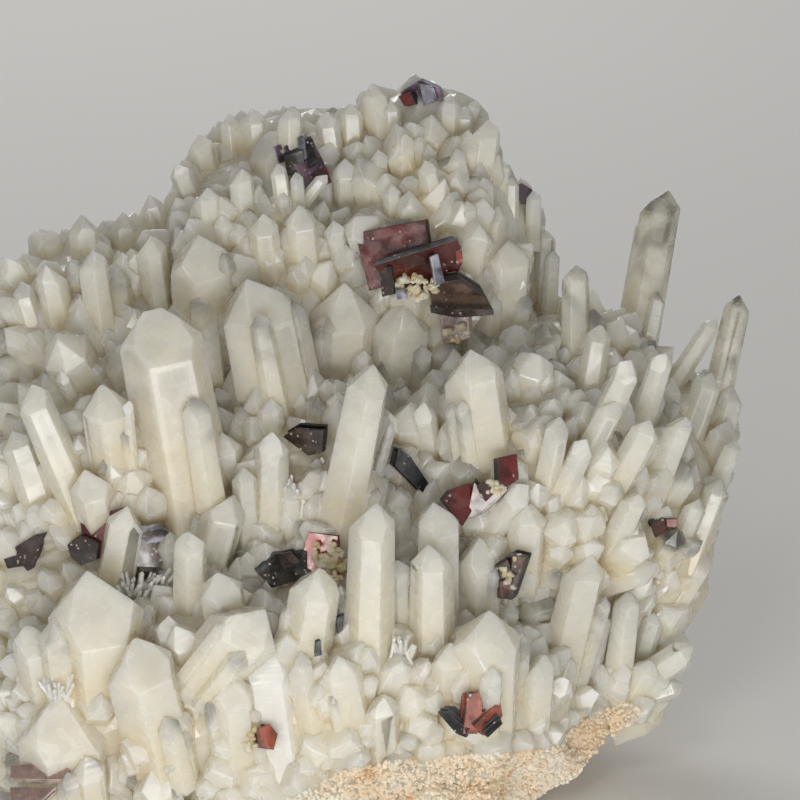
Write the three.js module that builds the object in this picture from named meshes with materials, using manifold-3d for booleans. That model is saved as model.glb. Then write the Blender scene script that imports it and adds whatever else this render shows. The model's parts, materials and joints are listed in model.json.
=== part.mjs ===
// Huebnerite on quartz: a chunky cluster of quartz crystals on tan rock, set with dark red huebnerite plates.
// Millimetres, +Z up. The origin is in the flat cut face on which the specimen rests.
import * as THREE from 'three';
import { ConvexGeometry } from 'three/addons/geometries/ConvexGeometry.js';
import { mergeVertices } from 'three/addons/utils/BufferGeometryUtils.js';
import Module from 'manifold-3d';

const wasm = await Module();
wasm.setup();
const { Manifold, Mesh: SolidMesh } = wasm;
const { degToRad } = THREE.MathUtils;

// The view of the photograph: places named "at", "tip", "root" or "outline" are pixels, right and down.
const PHOTO_PIXELS = 800;
const PHOTO_CENTRE = PHOTO_PIXELS / 2;
const PHOTO_WIDTH = 120; // the width that the photograph covers through its target
const VIEW_DISTANCE = 500;
const VIEW_ELEVATION = degToRad(20);
const TARGET = new THREE.Vector3(18, 4, 60);
const MM_PER_PIXEL = PHOTO_WIDTH / PHOTO_PIXELS;
const RIGHT = new THREE.Vector3(1, 0, 0);
const UPWARD = new THREE.Vector3(0, Math.sin(VIEW_ELEVATION), Math.cos(VIEW_ELEVATION));
const TOWARD = new THREE.Vector3(0, -Math.cos(VIEW_ELEVATION), Math.sin(VIEW_ELEVATION));

// Quartz: six prism faces, and six end faces whose normals stand this far above those of the prism.
const PRISM_TURN = 60;
const END_FACE_RISE = degToRad(38.2);
const PRISM_TAPER = degToRad(1.2);
const CRYSTAL_SINK = 4; // how deep a crystal's root goes into what it grows from
const END_FACE_SPREAD = 0.34; // how unequal a broad crystal's end faces are, against its half width
const MINOR_FACE_SETBACK = 0.12;
const PRISM_FACE_SPREAD = 0.16;
const BROAD_WIDTH = 7; // narrower crystals have six equal end faces
const DEFAULT_LEAN = 15; // degrees out of the picture, towards the viewer

// The massive quartz and the rock: each is one rough skin round a group of ellipsoids.
const QUARTZ_CORE = { at: [340, 480], depth: -20 };
const QUARTZ_SKIN_DETAIL = 4;
const ROCK_CORE = new THREE.Vector3(2, 20, 5);
const ROCK_SKIN_DETAIL = 3;
const SKIN_ROUGHNESS = 0.5;
const SKIN_WAVES = [[9.1, 5.3, 0], [0, 8.3, -6.7], [6.9, 0, 7.7]].map((wave) => new THREE.Vector3(...wave));
const GRAIN_DETAIL = 0;
const FIT_GAP = 0.4; // the clearance between touching pieces
const CORNER_GROWTH = 1.5; // how far a pocket's corner moves out for each step that its sides do
const QUARTZ_FLOOR = 1.2; // the quartz ends this far above the resting face
const TRIM_BLOCK = 400;
const MERGE_DISTANCE = 1e-5;
const SAME_CORNER = 1e-3;

// Small crystals round the sides, the top and the back.
const RIM_CRYSTALS = 22;
const RIM_WIDTH = [3.6, 6.2];
const RIM_SLENDERNESS = [0.9, 1.7];
const RIM_SINK = 7;
const RIM_SEED = 7;
const RIM_TRIES = 880;
const RIM_MOST_BACKWARD = 0.75; // how squarely a place may face away from the viewer and still carry a crystal
const RIM_MOST_DOWNWARD = 0.2;
const RIM_LOWEST = 12;
const RIM_UPWARD_PULL = 0.35;
const GOLDEN_ANGLE = Math.PI * (3 - Math.sqrt(5));

// The strides of the repeatable numbers that stand in for nature's irregularity.
const FIRST_STRIDE = 12.9898;
const SECOND_STRIDE = 78.233;
const CHANCE_SCALE = 43758.5453;

const COLOURS = {
  quartz: { color: 0xd9d6cb, roughness: 0.18, metalness: 0 },
  rock: { color: 0xc9a982, roughness: 0.8, metalness: 0 },
  huebnerite: { color: 0x4a1216, roughness: 0.2, metalness: 0.15 },
  grains: { color: 0xe0cfae, roughness: 0.6, metalness: 0 },
};

// The massive quartz that the crystals stand on. size: half widths to the right, upward and towards the viewer.
const QUARTZ_LUMPS = [
  { at: [285, 685], depth: -4, size: [36, 19, 19] },
  { at: [105, 690], depth: -6, size: [17, 17, 17] },
  { at: [430, 690], depth: -6, size: [21, 13, 17] },
  { at: [125, 490], depth: -14, size: [20, 18, 18] },
  { at: [330, 520], depth: -15, size: [26, 20, 18] },
  { at: [520, 500], depth: -16, size: [22, 21, 18] },
  { at: [635, 520], depth: -21, size: [11, 20, 13] },
  { at: [672, 455], depth: -26, size: [8, 12, 8] },
  { at: [105, 335], depth: -22, size: [16, 13, 15] },
  { at: [265, 300], depth: -26, size: [19, 22, 18] },
  { at: [420, 265], depth: -27, size: [17, 20, 16] },
  { at: [345, 175], depth: -29, size: [22, 9, 11] },
  { at: [425, 135], depth: -26, size: [10, 6, 8] },
  { at: [560, 400], depth: -23, size: [13, 13, 13] },
  { at: [48, 590], depth: -7, size: [9, 9, 11] },
  { at: [330, 480], depth: -30, size: [36, 32, 12] },
];

// The rock under and behind the quartz, given in the part's own frame.
const ROCK_LUMPS = [
  { centre: [-4, -2, 1], size: [37, 30, 8] },
  { centre: [22, -8, 5], size: [26, 19, 8.5] },
  { centre: [39, 6, 11], size: [19, 15, 8] },
  { centre: [-4, 33, 32], size: [38, 12, 36] },
  { centre: [30, 29, 36], size: [24, 12, 26] },
];

// The crystals that show in the photograph, region by region. width is in mm, lean and roll in degrees.
const TOP_RIDGE = [
  { tip: [50, 229], root: [58, 262], width: 4.0 },
  { tip: [82, 214], root: [87, 265], width: 4.8, roll: 20 },
  { tip: [124, 212], root: [127, 255], width: 4.4, roll: 8 },
  { tip: [148, 195], root: [162, 240], width: 3.6 },
  { tip: [177, 163], root: [195, 205], width: 3.6, lean: 25 },
  { tip: [200, 134], root: [208, 180], width: 4.4, lean: 30, roll: 12 },
  { tip: [229, 113], root: [234, 158], width: 3.8, roll: 25 },
  { tip: [252, 108], root: [258, 156], width: 4.2, roll: 10 },
  { tip: [290, 106], root: [291, 150], width: 3.9, roll: 22 },
  { tip: [325, 112], root: [332, 155], width: 3.8, lean: 20 },
  { tip: [350, 103], root: [352, 145], width: 3.4, roll: 5 },
  { tip: [373, 83], root: [383, 140], width: 4.6, lean: 8, roll: 14 },
  { tip: [414, 73], root: [408, 122], width: 3.8, lean: 4, roll: 26 },
  { tip: [450, 94], root: [447, 135], width: 3.6, lean: 8 },
  { tip: [488, 119], root: [480, 178], width: 5.2, lean: 22, roll: 18 },
  { tip: [520, 177], root: [522, 255], width: 4.2, lean: 6, roll: 30, depth: -26 },
  { tip: [547, 230], root: [542, 345], width: 3.6, lean: 10, roll: 4, depth: -27 },
  { tip: [508, 238], root: [500, 335], width: 8.4, lean: 20, roll: 20 },
  { tip: [576, 264], root: [577, 355], width: 4.4, lean: 10, roll: 12 },
];
const RIGHT_SIDE = [
  { tip: [664, 189], root: [622, 360], width: 7.0, lean: 6, roll: 18, depth: -26 },
  { tip: [740, 295], root: [698, 445], width: 4.6, lean: 6, roll: 6, depth: -26 },
  { tip: [716, 318], root: [664, 400], width: 3.4, lean: 8, depth: -23 },
  { tip: [734, 386], root: [700, 500], width: 4.8, lean: 10, roll: 22, depth: -26 },
  { tip: [712, 372], root: [672, 480], width: 5.0, lean: 18, roll: 9, depth: -22 },
  { tip: [722, 478], root: [690, 560], width: 4.6, lean: 8, roll: 2 },
  { tip: [632, 362], root: [588, 455], width: 4.6, lean: 25, roll: 15 },
  { tip: [664, 354], root: [636, 440], width: 4.0, lean: 18, roll: 5 },
  { tip: [600, 325], root: [588, 400], width: 4.0, lean: 14 },
  { tip: [560, 418], root: [545, 492], width: 4.4, lean: 26, roll: 28 },
  { tip: [616, 400], root: [578, 470], width: 4.2, lean: 30, roll: 20 },
  { tip: [652, 420], root: [606, 505], width: 4.8, lean: 28, roll: 8 },
  { tip: [684, 415], root: [648, 505], width: 4.8, lean: 22, roll: 25 },
  { tip: [586, 440], root: [556, 505], width: 3.8, lean: 32, roll: 10 },
  { tip: [640, 492], root: [606, 560], width: 4.4, lean: 35, roll: 18 },
  { tip: [708, 554], root: [672, 610], width: 4.2, lean: 10, roll: 20 },
  { tip: [690, 600], root: [650, 645], width: 4.0, lean: 15 },
  { tip: [695, 646], root: [640, 682], width: 5.0, lean: 14, roll: 10 },
  { tip: [684, 684], root: [634, 700], width: 3.6, lean: 8 },
  { tip: [628, 592], root: [617, 680], width: 4.8, lean: 20, roll: 24 },
  { tip: [626, 556], root: [622, 600], width: 4.8, lean: 55, roll: 6 },
  { tip: [590, 553], root: [562, 665], width: 7.2, lean: 24, roll: 16 },
  { tip: [601, 613], root: [582, 700], width: 4.2, lean: 26, roll: 4 },
];
const UPPER_WALL = [
  { tip: [404, 134], root: [404, 172], width: 4.0, lean: 30, roll: 20 },
  { tip: [197, 236], root: [203, 310], width: 9.0, lean: 35, roll: 25 },
  { tip: [206, 186], root: [212, 238], width: 4.4, lean: 28, roll: 8 },
  { tip: [240, 168], root: [245, 222], width: 4.2, lean: 28, roll: 20 },
  { tip: [345, 158], root: [346, 206], width: 4.6, lean: 30, roll: 5 },
  { tip: [300, 206], root: [304, 262], width: 4.8, lean: 32, roll: 15 },
  { tip: [262, 214], root: [268, 270], width: 4.6, lean: 32, roll: 2 },
  { tip: [150, 236], root: [158, 300], width: 5.0, lean: 28, roll: 12 },
  { tip: [92, 250], root: [102, 322], width: 5.0, lean: 26, roll: 26 },
  { tip: [48, 264], root: [60, 320], width: 4.6, lean: 28 },
];
const CENTRE_LEFT = [
  { tip: [155, 310], root: [192, 505], width: 12.6, lean: 20, roll: 10 },
  { tip: [204, 288], root: [214, 410], width: 4.8, lean: 12, roll: 20 },
  { tip: [250, 278], root: [276, 410], width: 11.4, lean: 24, roll: 28 },
  { tip: [347, 284], root: [342, 385], width: 11.0, lean: 36, roll: 6 },
  { tip: [402, 292], root: [396, 400], width: 10.4, lean: 30, roll: 22 },
  { tip: [220, 430], root: [224, 485], width: 6.4, lean: 38, roll: 12 },
  { tip: [56, 338], root: [84, 388], width: 7.8, lean: 50, roll: 14 },
  { tip: [20, 282], root: [34, 325], width: 3.6, lean: 16 },
  { tip: [28, 386], root: [78, 500], width: 5.8, lean: 18, roll: 4 },
  { tip: [102, 384], root: [116, 465], width: 8.0, lean: 26, roll: 24 },
  { tip: [14, 430], root: [44, 520], width: 5.0, lean: 14, roll: 16 },
  { tip: [88, 468], root: [102, 525], width: 6.8, lean: 36, roll: 6 },
  { tip: [166, 530], root: [172, 580], width: 4.6, lean: 36, roll: 18 },
];
const CENTRE = [
  { tip: [372, 365], root: [333, 562], width: 7.6, lean: 24, roll: 26 },
  { tip: [366, 466], root: [358, 566], width: 6.6, lean: 26, roll: 10 },
  { tip: [372, 504], root: [368, 655], width: 7.6, lean: 22, roll: 2 },
  { tip: [470, 347], root: [484, 455], width: 9.2, lean: 30, roll: 12 },
  { tip: [422, 403], root: [430, 460], width: 4.0, lean: 30, roll: 24 },
  { tip: [245, 466], root: [250, 565], width: 4.6, lean: 24, roll: 8 },
  { tip: [272, 434], root: [271, 530], width: 5.4, lean: 26, roll: 20 },
  { tip: [230, 495], root: [206, 575], width: 6.6, lean: 26, roll: 14 },
  { tip: [438, 502], root: [436, 610], width: 6.8, lean: 22, roll: 28 },
  { tip: [432, 543], root: [432, 645], width: 6.6, lean: 26, roll: 4 },
  { tip: [527, 487], root: [482, 540], width: 4.6, lean: 34, roll: 16 },
  { tip: [530, 502], root: [524, 565], width: 5.8, lean: 34, roll: 6 },
  { tip: [478, 540], root: [478, 618], width: 6.4, lean: 30, roll: 22 },
  { tip: [490, 610], root: [485, 700], width: 11.2, lean: 34, roll: 20 },
  { tip: [318, 568], root: [306, 650], width: 7.4, lean: 34, roll: 10 },
  { tip: [217, 574], root: [226, 625], width: 6.6, lean: 40, roll: 24 },
  { tip: [265, 607], root: [216, 672], width: 10.4, lean: 34, roll: 8 },
  { tip: [540, 566], root: [536, 610], width: 4.6, lean: 34, roll: 18 },
];
const FRONT = [
  { tip: [92, 572], root: [102, 665], width: 14.0, lean: 32, roll: 12 },
  { tip: [130, 505], root: [116, 578], width: 6.0, lean: 26, roll: 6 },
  { tip: [190, 532], root: [190, 605], width: 5.4, lean: 34, roll: 20 },
  { tip: [170, 616], root: [174, 665], width: 5.0, lean: 46, roll: 14 },
  { tip: [132, 640], root: [164, 758], width: 10.4, lean: 26, roll: 4 },
  { tip: [191, 721], root: [202, 775], width: 4.2, lean: 36, roll: 22 },
  { tip: [60, 694], root: [72, 778], width: 13.6, lean: 38, roll: 16 },
  { tip: [122, 729], root: [60, 772], width: 4.8, lean: 20, roll: 8 },
  { tip: [262, 645], root: [288, 792], width: 6.2, lean: 22, roll: 14 },
  { tip: [294, 652], root: [312, 745], width: 4.6, lean: 22, roll: 28 },
  { tip: [337, 655], root: [350, 715], width: 6.6, lean: 40, roll: 10 },
  { tip: [382, 696], root: [384, 760], width: 5.2, lean: 42, roll: 14 },
  { tip: [540, 655], root: [534, 722], width: 5.6, lean: 34, roll: 24 },
  { tip: [448, 644], root: [450, 702], width: 5.4, lean: 36, roll: 12 },
  { tip: [232, 676], root: [238, 748], width: 6.6, lean: 36, roll: 18 },
  { tip: [150, 770], root: [160, 815], width: 6.4, lean: 44, roll: 22 },
  { tip: [30, 626], root: [44, 690], width: 6.6, lean: 30, roll: 8 },
  { tip: [26, 770], root: [40, 815], width: 7.0, lean: 40, roll: 26 },
];
const SHOWN_CRYSTALS = [...TOP_RIDGE, ...RIGHT_SIDE, ...UPPER_WALL, ...CENTRE_LEFT, ...CENTRE, ...FRONT];

// The huebnerite plates: each front face's outline in the photograph, how proud of the massive quartz it stands
// or else its own depth, how it turns to the right and downward in degrees, and its thickness. One piece's
// plates are grown together.
const HUEBNERITE = {
  huebnerite_main: [
    { outline: [[355, 233], [425, 220], [432, 272], [369, 291]], proud: 3, turn: -14, tilt: 8, thickness: 3 },
    { outline: [[374, 266], [458, 239], [463, 262], [452, 286], [392, 294]], proud: 5.5, turn: 12, tilt: 34,
      thickness: 3 },
    { outline: [[430, 284], [458, 280], [486, 298], [494, 313], [455, 317], [432, 312]], proud: 5, turn: 6,
      tilt: 42, thickness: 2.8 },
  ],
  huebnerite_upper_left: [
    { outline: [[258, 150], [290, 143], [300, 174], [270, 180]], proud: 3, turn: -20, tilt: 12,
      thickness: 2.6 },
    { outline: [[284, 147], [297, 137], [311, 136], [332, 178], [330, 186], [311, 194]], proud: 4, turn: 14,
      tilt: -8, thickness: 3 },
  ],
  huebnerite_top: [
    { outline: [[400, 92], [420, 80], [438, 88], [445, 104], [424, 112], [404, 105]], depth: -21, turn: -10,
      tilt: 10, thickness: 3.4 },
  ],
  huebnerite_right_tip: [
    { outline: [[508, 188], [522, 183], [533, 190], [530, 204], [512, 205]], depth: -22.8, turn: 10, tilt: 0,
      thickness: 1.6 },
  ],
  huebnerite_centre_right: [
    { outline: [[442, 500], [449, 491], [474, 481], [479, 487], [497, 481], [498, 458], [516, 454], [518, 480],
      [500, 496], [464, 527]], proud: 6, turn: -12, tilt: 4, thickness: 2.4 },
  ],
  huebnerite_behind_tall: [
    { outline: [[283, 437], [296, 429], [324, 431], [322, 453], [308, 456]], proud: 3.5, turn: -16, tilt: 24,
      thickness: 2.4 },
  ],
  huebnerite_dark_blade: [
    { outline: [[400, 449], [411, 457], [436, 494], [432, 502], [396, 466]], proud: 3.5, turn: 24, tilt: 10,
      thickness: 2.4 },
  ],
  huebnerite_lower_left: [
    { outline: [[80, 520], [122, 508], [128, 556], [84, 560]], proud: 4.5, turn: -14, tilt: 6, thickness: 2.8 },
    { outline: [[120, 536], [162, 530], [170, 552], [160, 568], [122, 566]], proud: 4.8, turn: 16, tilt: 10,
      thickness: 2.6 },
  ],
  huebnerite_left_edge: [
    { outline: [[2, 555], [35, 535], [44, 534], [33, 568], [12, 581]], depth: 3.5, turn: -18, tilt: 10,
      thickness: 2.6 },
  ],
  huebnerite_lower_centre: [
    { outline: [[308, 532], [338, 536], [336, 590], [300, 563]], proud: 6.6, turn: -12, tilt: 8,
      thickness: 2.6 },
    { outline: [[256, 572], [275, 554], [306, 552], [308, 578], [272, 588]], proud: 7, turn: 14, tilt: 16,
      thickness: 2.6 },
  ],
  huebnerite_front_centre: [
    { outline: [[495, 566], [512, 552], [527, 556], [512, 600], [497, 598]], proud: 7, turn: -20, tilt: 8,
      thickness: 2.4 },
  ],
  huebnerite_bottom_right: [
    { outline: [[437, 712], [447, 712], [468, 730], [466, 738], [456, 734]], proud: 8, turn: -30, tilt: 20,
      thickness: 2.4 },
    { outline: [[468, 694], [479, 692], [483, 706], [478, 734], [463, 734]], proud: 8.5, turn: 18, tilt: 6,
      thickness: 2.4 },
    { outline: [[474, 726], [500, 700], [503, 716], [488, 738]], proud: 9, turn: 30, tilt: 14, thickness: 2.4 },
  ],
  huebnerite_right_flank: [
    { outline: [[652, 524], [662, 517], [679, 519], [676, 532], [658, 538]], proud: 4.5, turn: 20, tilt: 14,
      thickness: 2.4 },
  ],
  huebnerite_orange: [
    { outline: [[259, 728], [270, 724], [278, 734], [274, 750], [262, 748]], proud: 3.4, turn: 12, tilt: 10,
      thickness: 2.8 },
  ],
  huebnerite_bottom_left: [
    { outline: [[10, 768], [64, 763], [72, 772], [64, 784], [10, 786]], depth: 14, turn: -10, tilt: -30,
      thickness: 2.4 },
  ],
};

// Clumps of cream grains beside the huebnerite: each grain's place, how proud it stands, and its half width.
const GRAINS = {
  cream_grains_main: [
    { at: [405, 290], proud: 6.6, size: 0.95 },
    { at: [414, 288], proud: 6.6, size: 0.95 },
    { at: [423, 288], proud: 6.8, size: 0.9 },
    { at: [431, 292], proud: 6.6, size: 0.95 },
  ],
  cream_grains_lower_centre: [
    { at: [322, 550], proud: 8.4, size: 1.0 },
    { at: [330, 554], proud: 8.4, size: 1.0 },
    { at: [334, 562], proud: 8.4, size: 1.0 },
  ],
};

function placed([x, y], depth) {
  const scale = MM_PER_PIXEL * (1 - depth / VIEW_DISTANCE);
  return TARGET.clone()
    .addScaledVector(RIGHT, (x - PHOTO_CENTRE) * scale)
    .addScaledVector(UPWARD, (PHOTO_CENTRE - y) * scale)
    .addScaledVector(TOWARD, depth);
}

// A repeatable number from 0 to 1 for a pair of counters.
function chance(first, second) {
  const wave = Math.sin(first * FIRST_STRIDE + second * SECOND_STRIDE) * CHANCE_SCALE;
  return wave - Math.floor(wave);
}

function between([low, high], share) {
  return low + (high - low) * share;
}

function solidOf(geometry) {
  geometry.deleteAttribute('normal');
  geometry.deleteAttribute('uv');
  const merged = mergeVertices(geometry, MERGE_DISTANCE);
  return new Manifold(new SolidMesh({
    numProp: 3,
    vertProperties: new Float32Array(merged.attributes.position.array),
    triVerts: new Uint32Array(merged.index.array),
  }));
}

function joined(solids) {
  return solids.reduce((whole, solid) => whole.add(solid));
}

// The one outer body of a solid: closed hollows and loose chips are dropped.
function outerBody(solid) {
  return solid.decompose().reduce((best, body) => (body.volume() > best.volume() ? body : best));
}

// How far along a line from a place it crosses a lump's surface: the near and the far crossing, or none.
function crossings({ centre, axes, size }, from, way) {
  const start = from.clone().sub(centre);
  let [square, slope, rest] = [0, 0, -1];
  axes.forEach((axis, k) => {
    const place = start.dot(axis) / size[k];
    const grade = way.dot(axis) / size[k];
    square += grade * grade;
    slope += 2 * place * grade;
    rest += place * place;
  });
  const inside = slope * slope - 4 * square * rest;
  if (inside < 0) return [];
  return [-1, 1].map((sign) => (sign * Math.sqrt(inside) - slope) / (2 * square));
}

// One rough closed skin round a group of lumps, as seen from a place inside them.
function skinSolid(lumps, core, detail, grow = 0) {
  const geometry = new THREE.IcosahedronGeometry(1, detail);
  const places = geometry.attributes.position;
  const way = new THREE.Vector3();
  for (let i = 0; i < places.count; i += 1) {
    way.fromBufferAttribute(places, i).normalize();
    const reach = Math.max(...lumps.flatMap((lump) => crossings(lump, core, way)));
    const waves = SKIN_WAVES.reduce((sum, wave) => sum + Math.sin(wave.dot(way)), 0);
    way.multiplyScalar(reach + grow + SKIN_ROUGHNESS * waves).add(core);
    places.setXYZ(i, way.x, way.y, way.z);
  }
  return solidOf(geometry);
}

const PICTURE_AXES = [RIGHT, UPWARD, TOWARD];
const PART_AXES = [RIGHT, new THREE.Vector3(0, 1, 0), new THREE.Vector3(0, 0, 1)];
const quartzLumps = QUARTZ_LUMPS.map(({ at, depth, size }) => ({
  centre: placed(at, depth), axes: PICTURE_AXES, size,
}));
const rockLumps = ROCK_LUMPS.map(({ centre, size }) => ({
  centre: new THREE.Vector3(...centre), axes: PART_AXES, size,
}));

// The depth at which the sight line through a place of the photograph first meets a lump of quartz.
function frontDepth(place) {
  const near = placed(place, 0);
  const sight = placed(place, 1).sub(near);
  return Math.max(...quartzLumps.flatMap((lump) => crossings(lump, near, sight)));
}

// The corners of a convex body given by the planes that bound it: outward normal and offset.
function cornersOf(planes) {
  const corners = [];
  for (let a = 0; a < planes.length; a += 1) {
    for (let b = a + 1; b < planes.length; b += 1) {
      const edge = new THREE.Vector3().crossVectors(planes[a].normal, planes[b].normal);
      for (let c = b + 1; c < planes.length; c += 1) {
        const volume = edge.dot(planes[c].normal);
        if (Math.abs(volume) < MERGE_DISTANCE) continue;
        const corner = edge.clone().multiplyScalar(planes[c].offset)
          .add(new THREE.Vector3().crossVectors(planes[b].normal, planes[c].normal)
            .multiplyScalar(planes[a].offset))
          .add(new THREE.Vector3().crossVectors(planes[c].normal, planes[a].normal)
            .multiplyScalar(planes[b].offset))
          .divideScalar(volume);
        const within = planes.every(({ normal, offset }) => normal.dot(corner) <= offset + MERGE_DISTANCE);
        const known = corners.some((other) => other.distanceTo(corner) < SAME_CORNER);
        if (within && !known) corners.push(corner);
      }
    }
  }
  return corners;
}

// A quartz crystal from its root to its tip: a six-sided prism that ends in six unequal faces.
function crystalSolid(root, tip, width, roll, sink, key) {
  const along = tip.clone().sub(root);
  const length = along.length();
  along.normalize();
  const facing = TOWARD.clone().addScaledVector(along, -TOWARD.dot(along)).normalize();
  facing.applyAxisAngle(along, degToRad(roll));
  const across = new THREE.Vector3().crossVectors(along, facing);
  const half = width / 2;
  const planes = [{ normal: new THREE.Vector3(0, 0, -1), offset: sink }];
  for (let k = 0; k < 6; k += 1) {
    const turn = degToRad(k * PRISM_TURN);
    const outward = new THREE.Vector3(Math.cos(turn), Math.sin(turn), 0);
    planes.push({
      normal: outward.clone().multiplyScalar(Math.cos(PRISM_TAPER)).setZ(Math.sin(PRISM_TAPER)),
      offset: half * (1 - PRISM_FACE_SPREAD * chance(key, k)),
    });
    const setback = width < BROAD_WIDTH ? 0
      : MINOR_FACE_SETBACK * (k % 2) + END_FACE_SPREAD * chance(key, k + 10);
    planes.push({
      normal: outward.multiplyScalar(Math.cos(END_FACE_RISE)).setZ(Math.sin(END_FACE_RISE)),
      offset: length * Math.sin(END_FACE_RISE) + half * setback,
    });
  }
  // The end faces all move down together until the highest corner is the tip.
  const rise = Math.max(...cornersOf(planes).map((corner) => corner.z)) - length;
  planes.forEach((plane, k) => {
    if (k > 0 && k % 2 === 0) plane.offset -= rise * Math.sin(END_FACE_RISE);
  });
  const geometry = new ConvexGeometry(cornersOf(planes));
  geometry.applyMatrix4(new THREE.Matrix4().makeBasis(facing, across, along).setPosition(root));
  return solidOf(geometry);
}

function shownCrystal({ tip, root, width, lean = DEFAULT_LEAN, roll = 0, depth = frontDepth(root) }, key) {
  const foot = placed(root, depth);
  const inPlane = placed(tip, depth);
  const rise = foot.distanceTo(inPlane) * Math.tan(degToRad(lean));
  return crystalSolid(foot, placed(tip, depth + rise), width, roll, CRYSTAL_SINK, key);
}

// Crystals on the top, the sides and the back of the lumps, where the photograph doesn't look.
function rimCrystals() {
  const solids = [];
  for (let i = 0; solids.length < RIM_CRYSTALS && i < RIM_TRIES; i += 1) {
    const lump = quartzLumps[i % quartzLumps.length];
    const height = 1 - 2 * chance(i, RIM_SEED);
    const ring = Math.sqrt(1 - height * height);
    const way = new THREE.Vector3()
      .addScaledVector(RIGHT, ring * Math.cos(i * GOLDEN_ANGLE))
      .addScaledVector(TOWARD, ring * Math.sin(i * GOLDEN_ANGLE))
      .addScaledVector(UPWARD, height);
    const foot = lump.centre.clone();
    const normal = new THREE.Vector3();
    lump.axes.forEach((axis, k) => {
      foot.addScaledVector(axis, way.dot(axis) * lump.size[k]);
      normal.addScaledVector(axis, way.dot(axis) / lump.size[k]);
    });
    normal.normalize();
    const backward = -normal.dot(TOWARD);
    const buried = [...quartzLumps, ...rockLumps].some((other) => other !== lump && holds(other, foot));
    if (buried || backward < 0 || backward > RIM_MOST_BACKWARD) continue;
    if (foot.z < RIM_LOWEST || normal.z < -RIM_MOST_DOWNWARD) continue;
    const width = between(RIM_WIDTH, chance(i, RIM_SEED + 1));
    const length = width * between(RIM_SLENDERNESS, chance(i, RIM_SEED + 2));
    const grows = normal.clone().add(new THREE.Vector3(0, 0, RIM_UPWARD_PULL)).normalize();
    const tip = foot.clone().addScaledVector(grows, length);
    solids.push(crystalSolid(foot, tip, width, PRISM_TURN * chance(i, RIM_SEED + 3), RIM_SINK, i));
  }
  return solids;
}

function holds({ centre, axes, size }, place) {
  const from = place.clone().sub(centre);
  return axes.reduce((sum, axis, k) => sum + (from.dot(axis) / size[k]) ** 2, 0) < 1;
}

// A tabular crystal: its front face fills the outline, and its thickness goes back from there.
function plateSolid({ outline, proud, depth, turn, tilt, thickness }, grow = 0) {
  const normal = TOWARD.clone().applyAxisAngle(UPWARD, degToRad(turn)).applyAxisAngle(RIGHT, degToRad(tilt));
  const side = new THREE.Vector3().crossVectors(UPWARD, normal).normalize();
  const upside = new THREE.Vector3().crossVectors(normal, side);
  const middle = outline.reduce(([x, y], point) => [x + point[0], y + point[1]], [0, 0])
    .map((sum) => sum / outline.length);
  const front = depth ?? frontDepth(middle) + proud;
  const anchor = placed(middle, front);
  const flat = outline.map((point) => {
    const near = placed(point, front);
    const sight = placed(point, front + 1).sub(near);
    near.addScaledVector(sight, anchor.clone().sub(near).dot(normal) / sight.dot(normal)).sub(anchor);
    return new THREE.Vector2(near.dot(side), near.dot(upside));
  });
  for (const point of flat) point.addScaledVector(point.clone().normalize(), grow * CORNER_GROWTH);
  const geometry = new THREE.ExtrudeGeometry(new THREE.Shape(flat), {
    depth: thickness + 2 * grow, bevelEnabled: false,
  });
  geometry.translate(0, 0, -thickness - grow);
  geometry.applyMatrix4(new THREE.Matrix4().makeBasis(side, upside, normal).setPosition(anchor));
  return solidOf(geometry);
}

function grainSolid({ at, proud, size }, grow = 0) {
  const geometry = new THREE.IcosahedronGeometry(size + grow, GRAIN_DETAIL);
  geometry.translate(...placed(at, frontDepth(at) + proud).toArray());
  return solidOf(geometry);
}

function halfSpaceBelow(height) {
  const geometry = new THREE.BoxGeometry(TRIM_BLOCK, TRIM_BLOCK, TRIM_BLOCK);
  geometry.translate(0, 0, height - TRIM_BLOCK / 2);
  return solidOf(geometry);
}

function meshOf(name, solid, look) {
  const { vertProperties, triVerts, numProp } = solid.getMesh();
  const geometry = new THREE.BufferGeometry();
  const places = new Float32Array(vertProperties.length / numProp * 3);
  for (let i = 0; i < places.length / 3; i += 1) {
    places.set(vertProperties.subarray(i * numProp, i * numProp + 3), i * 3);
  }
  geometry.setAttribute('position', new THREE.BufferAttribute(places, 3));
  geometry.setIndex(new THREE.BufferAttribute(new Uint32Array(triVerts), 1));
  geometry.computeVertexNormals();
  const mesh = new THREE.Mesh(geometry, new THREE.MeshStandardMaterial({ ...look, flatShading: true }));
  mesh.name = name;
  return mesh;
}

const rock = outerBody(skinSolid(rockLumps, ROCK_CORE, ROCK_SKIN_DETAIL).subtract(halfSpaceBelow(0)));
const rockRoom = skinSolid(rockLumps, ROCK_CORE, ROCK_SKIN_DETAIL, FIT_GAP);
const massiveQuartz = skinSolid(quartzLumps, placed(QUARTZ_CORE.at, QUARTZ_CORE.depth), QUARTZ_SKIN_DETAIL);
const plates = Object.entries(HUEBNERITE).map(([name, list]) => ({
  name,
  solid: joined(list.map((plate) => plateSolid(plate))),
  room: joined(list.map((plate) => plateSolid(plate, FIT_GAP))),
}));
const grains = Object.entries(GRAINS).map(([name, list]) => ({
  name,
  solid: joined(list.map((grain) => grainSolid(grain))),
  room: joined(list.map((grain) => grainSolid(grain, FIT_GAP))),
}));
const plateRoom = joined(plates.map(({ room }) => room));
const grainRoom = joined(grains.map(({ room }) => room));

const grown = joined([
  massiveQuartz,
  ...SHOWN_CRYSTALS.map(shownCrystal),
  ...rimCrystals(),
]);
const quartz = outerBody(
  grown.subtract(rockRoom).subtract(plateRoom).subtract(grainRoom).subtract(halfSpaceBelow(QUARTZ_FLOOR)),
);

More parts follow.
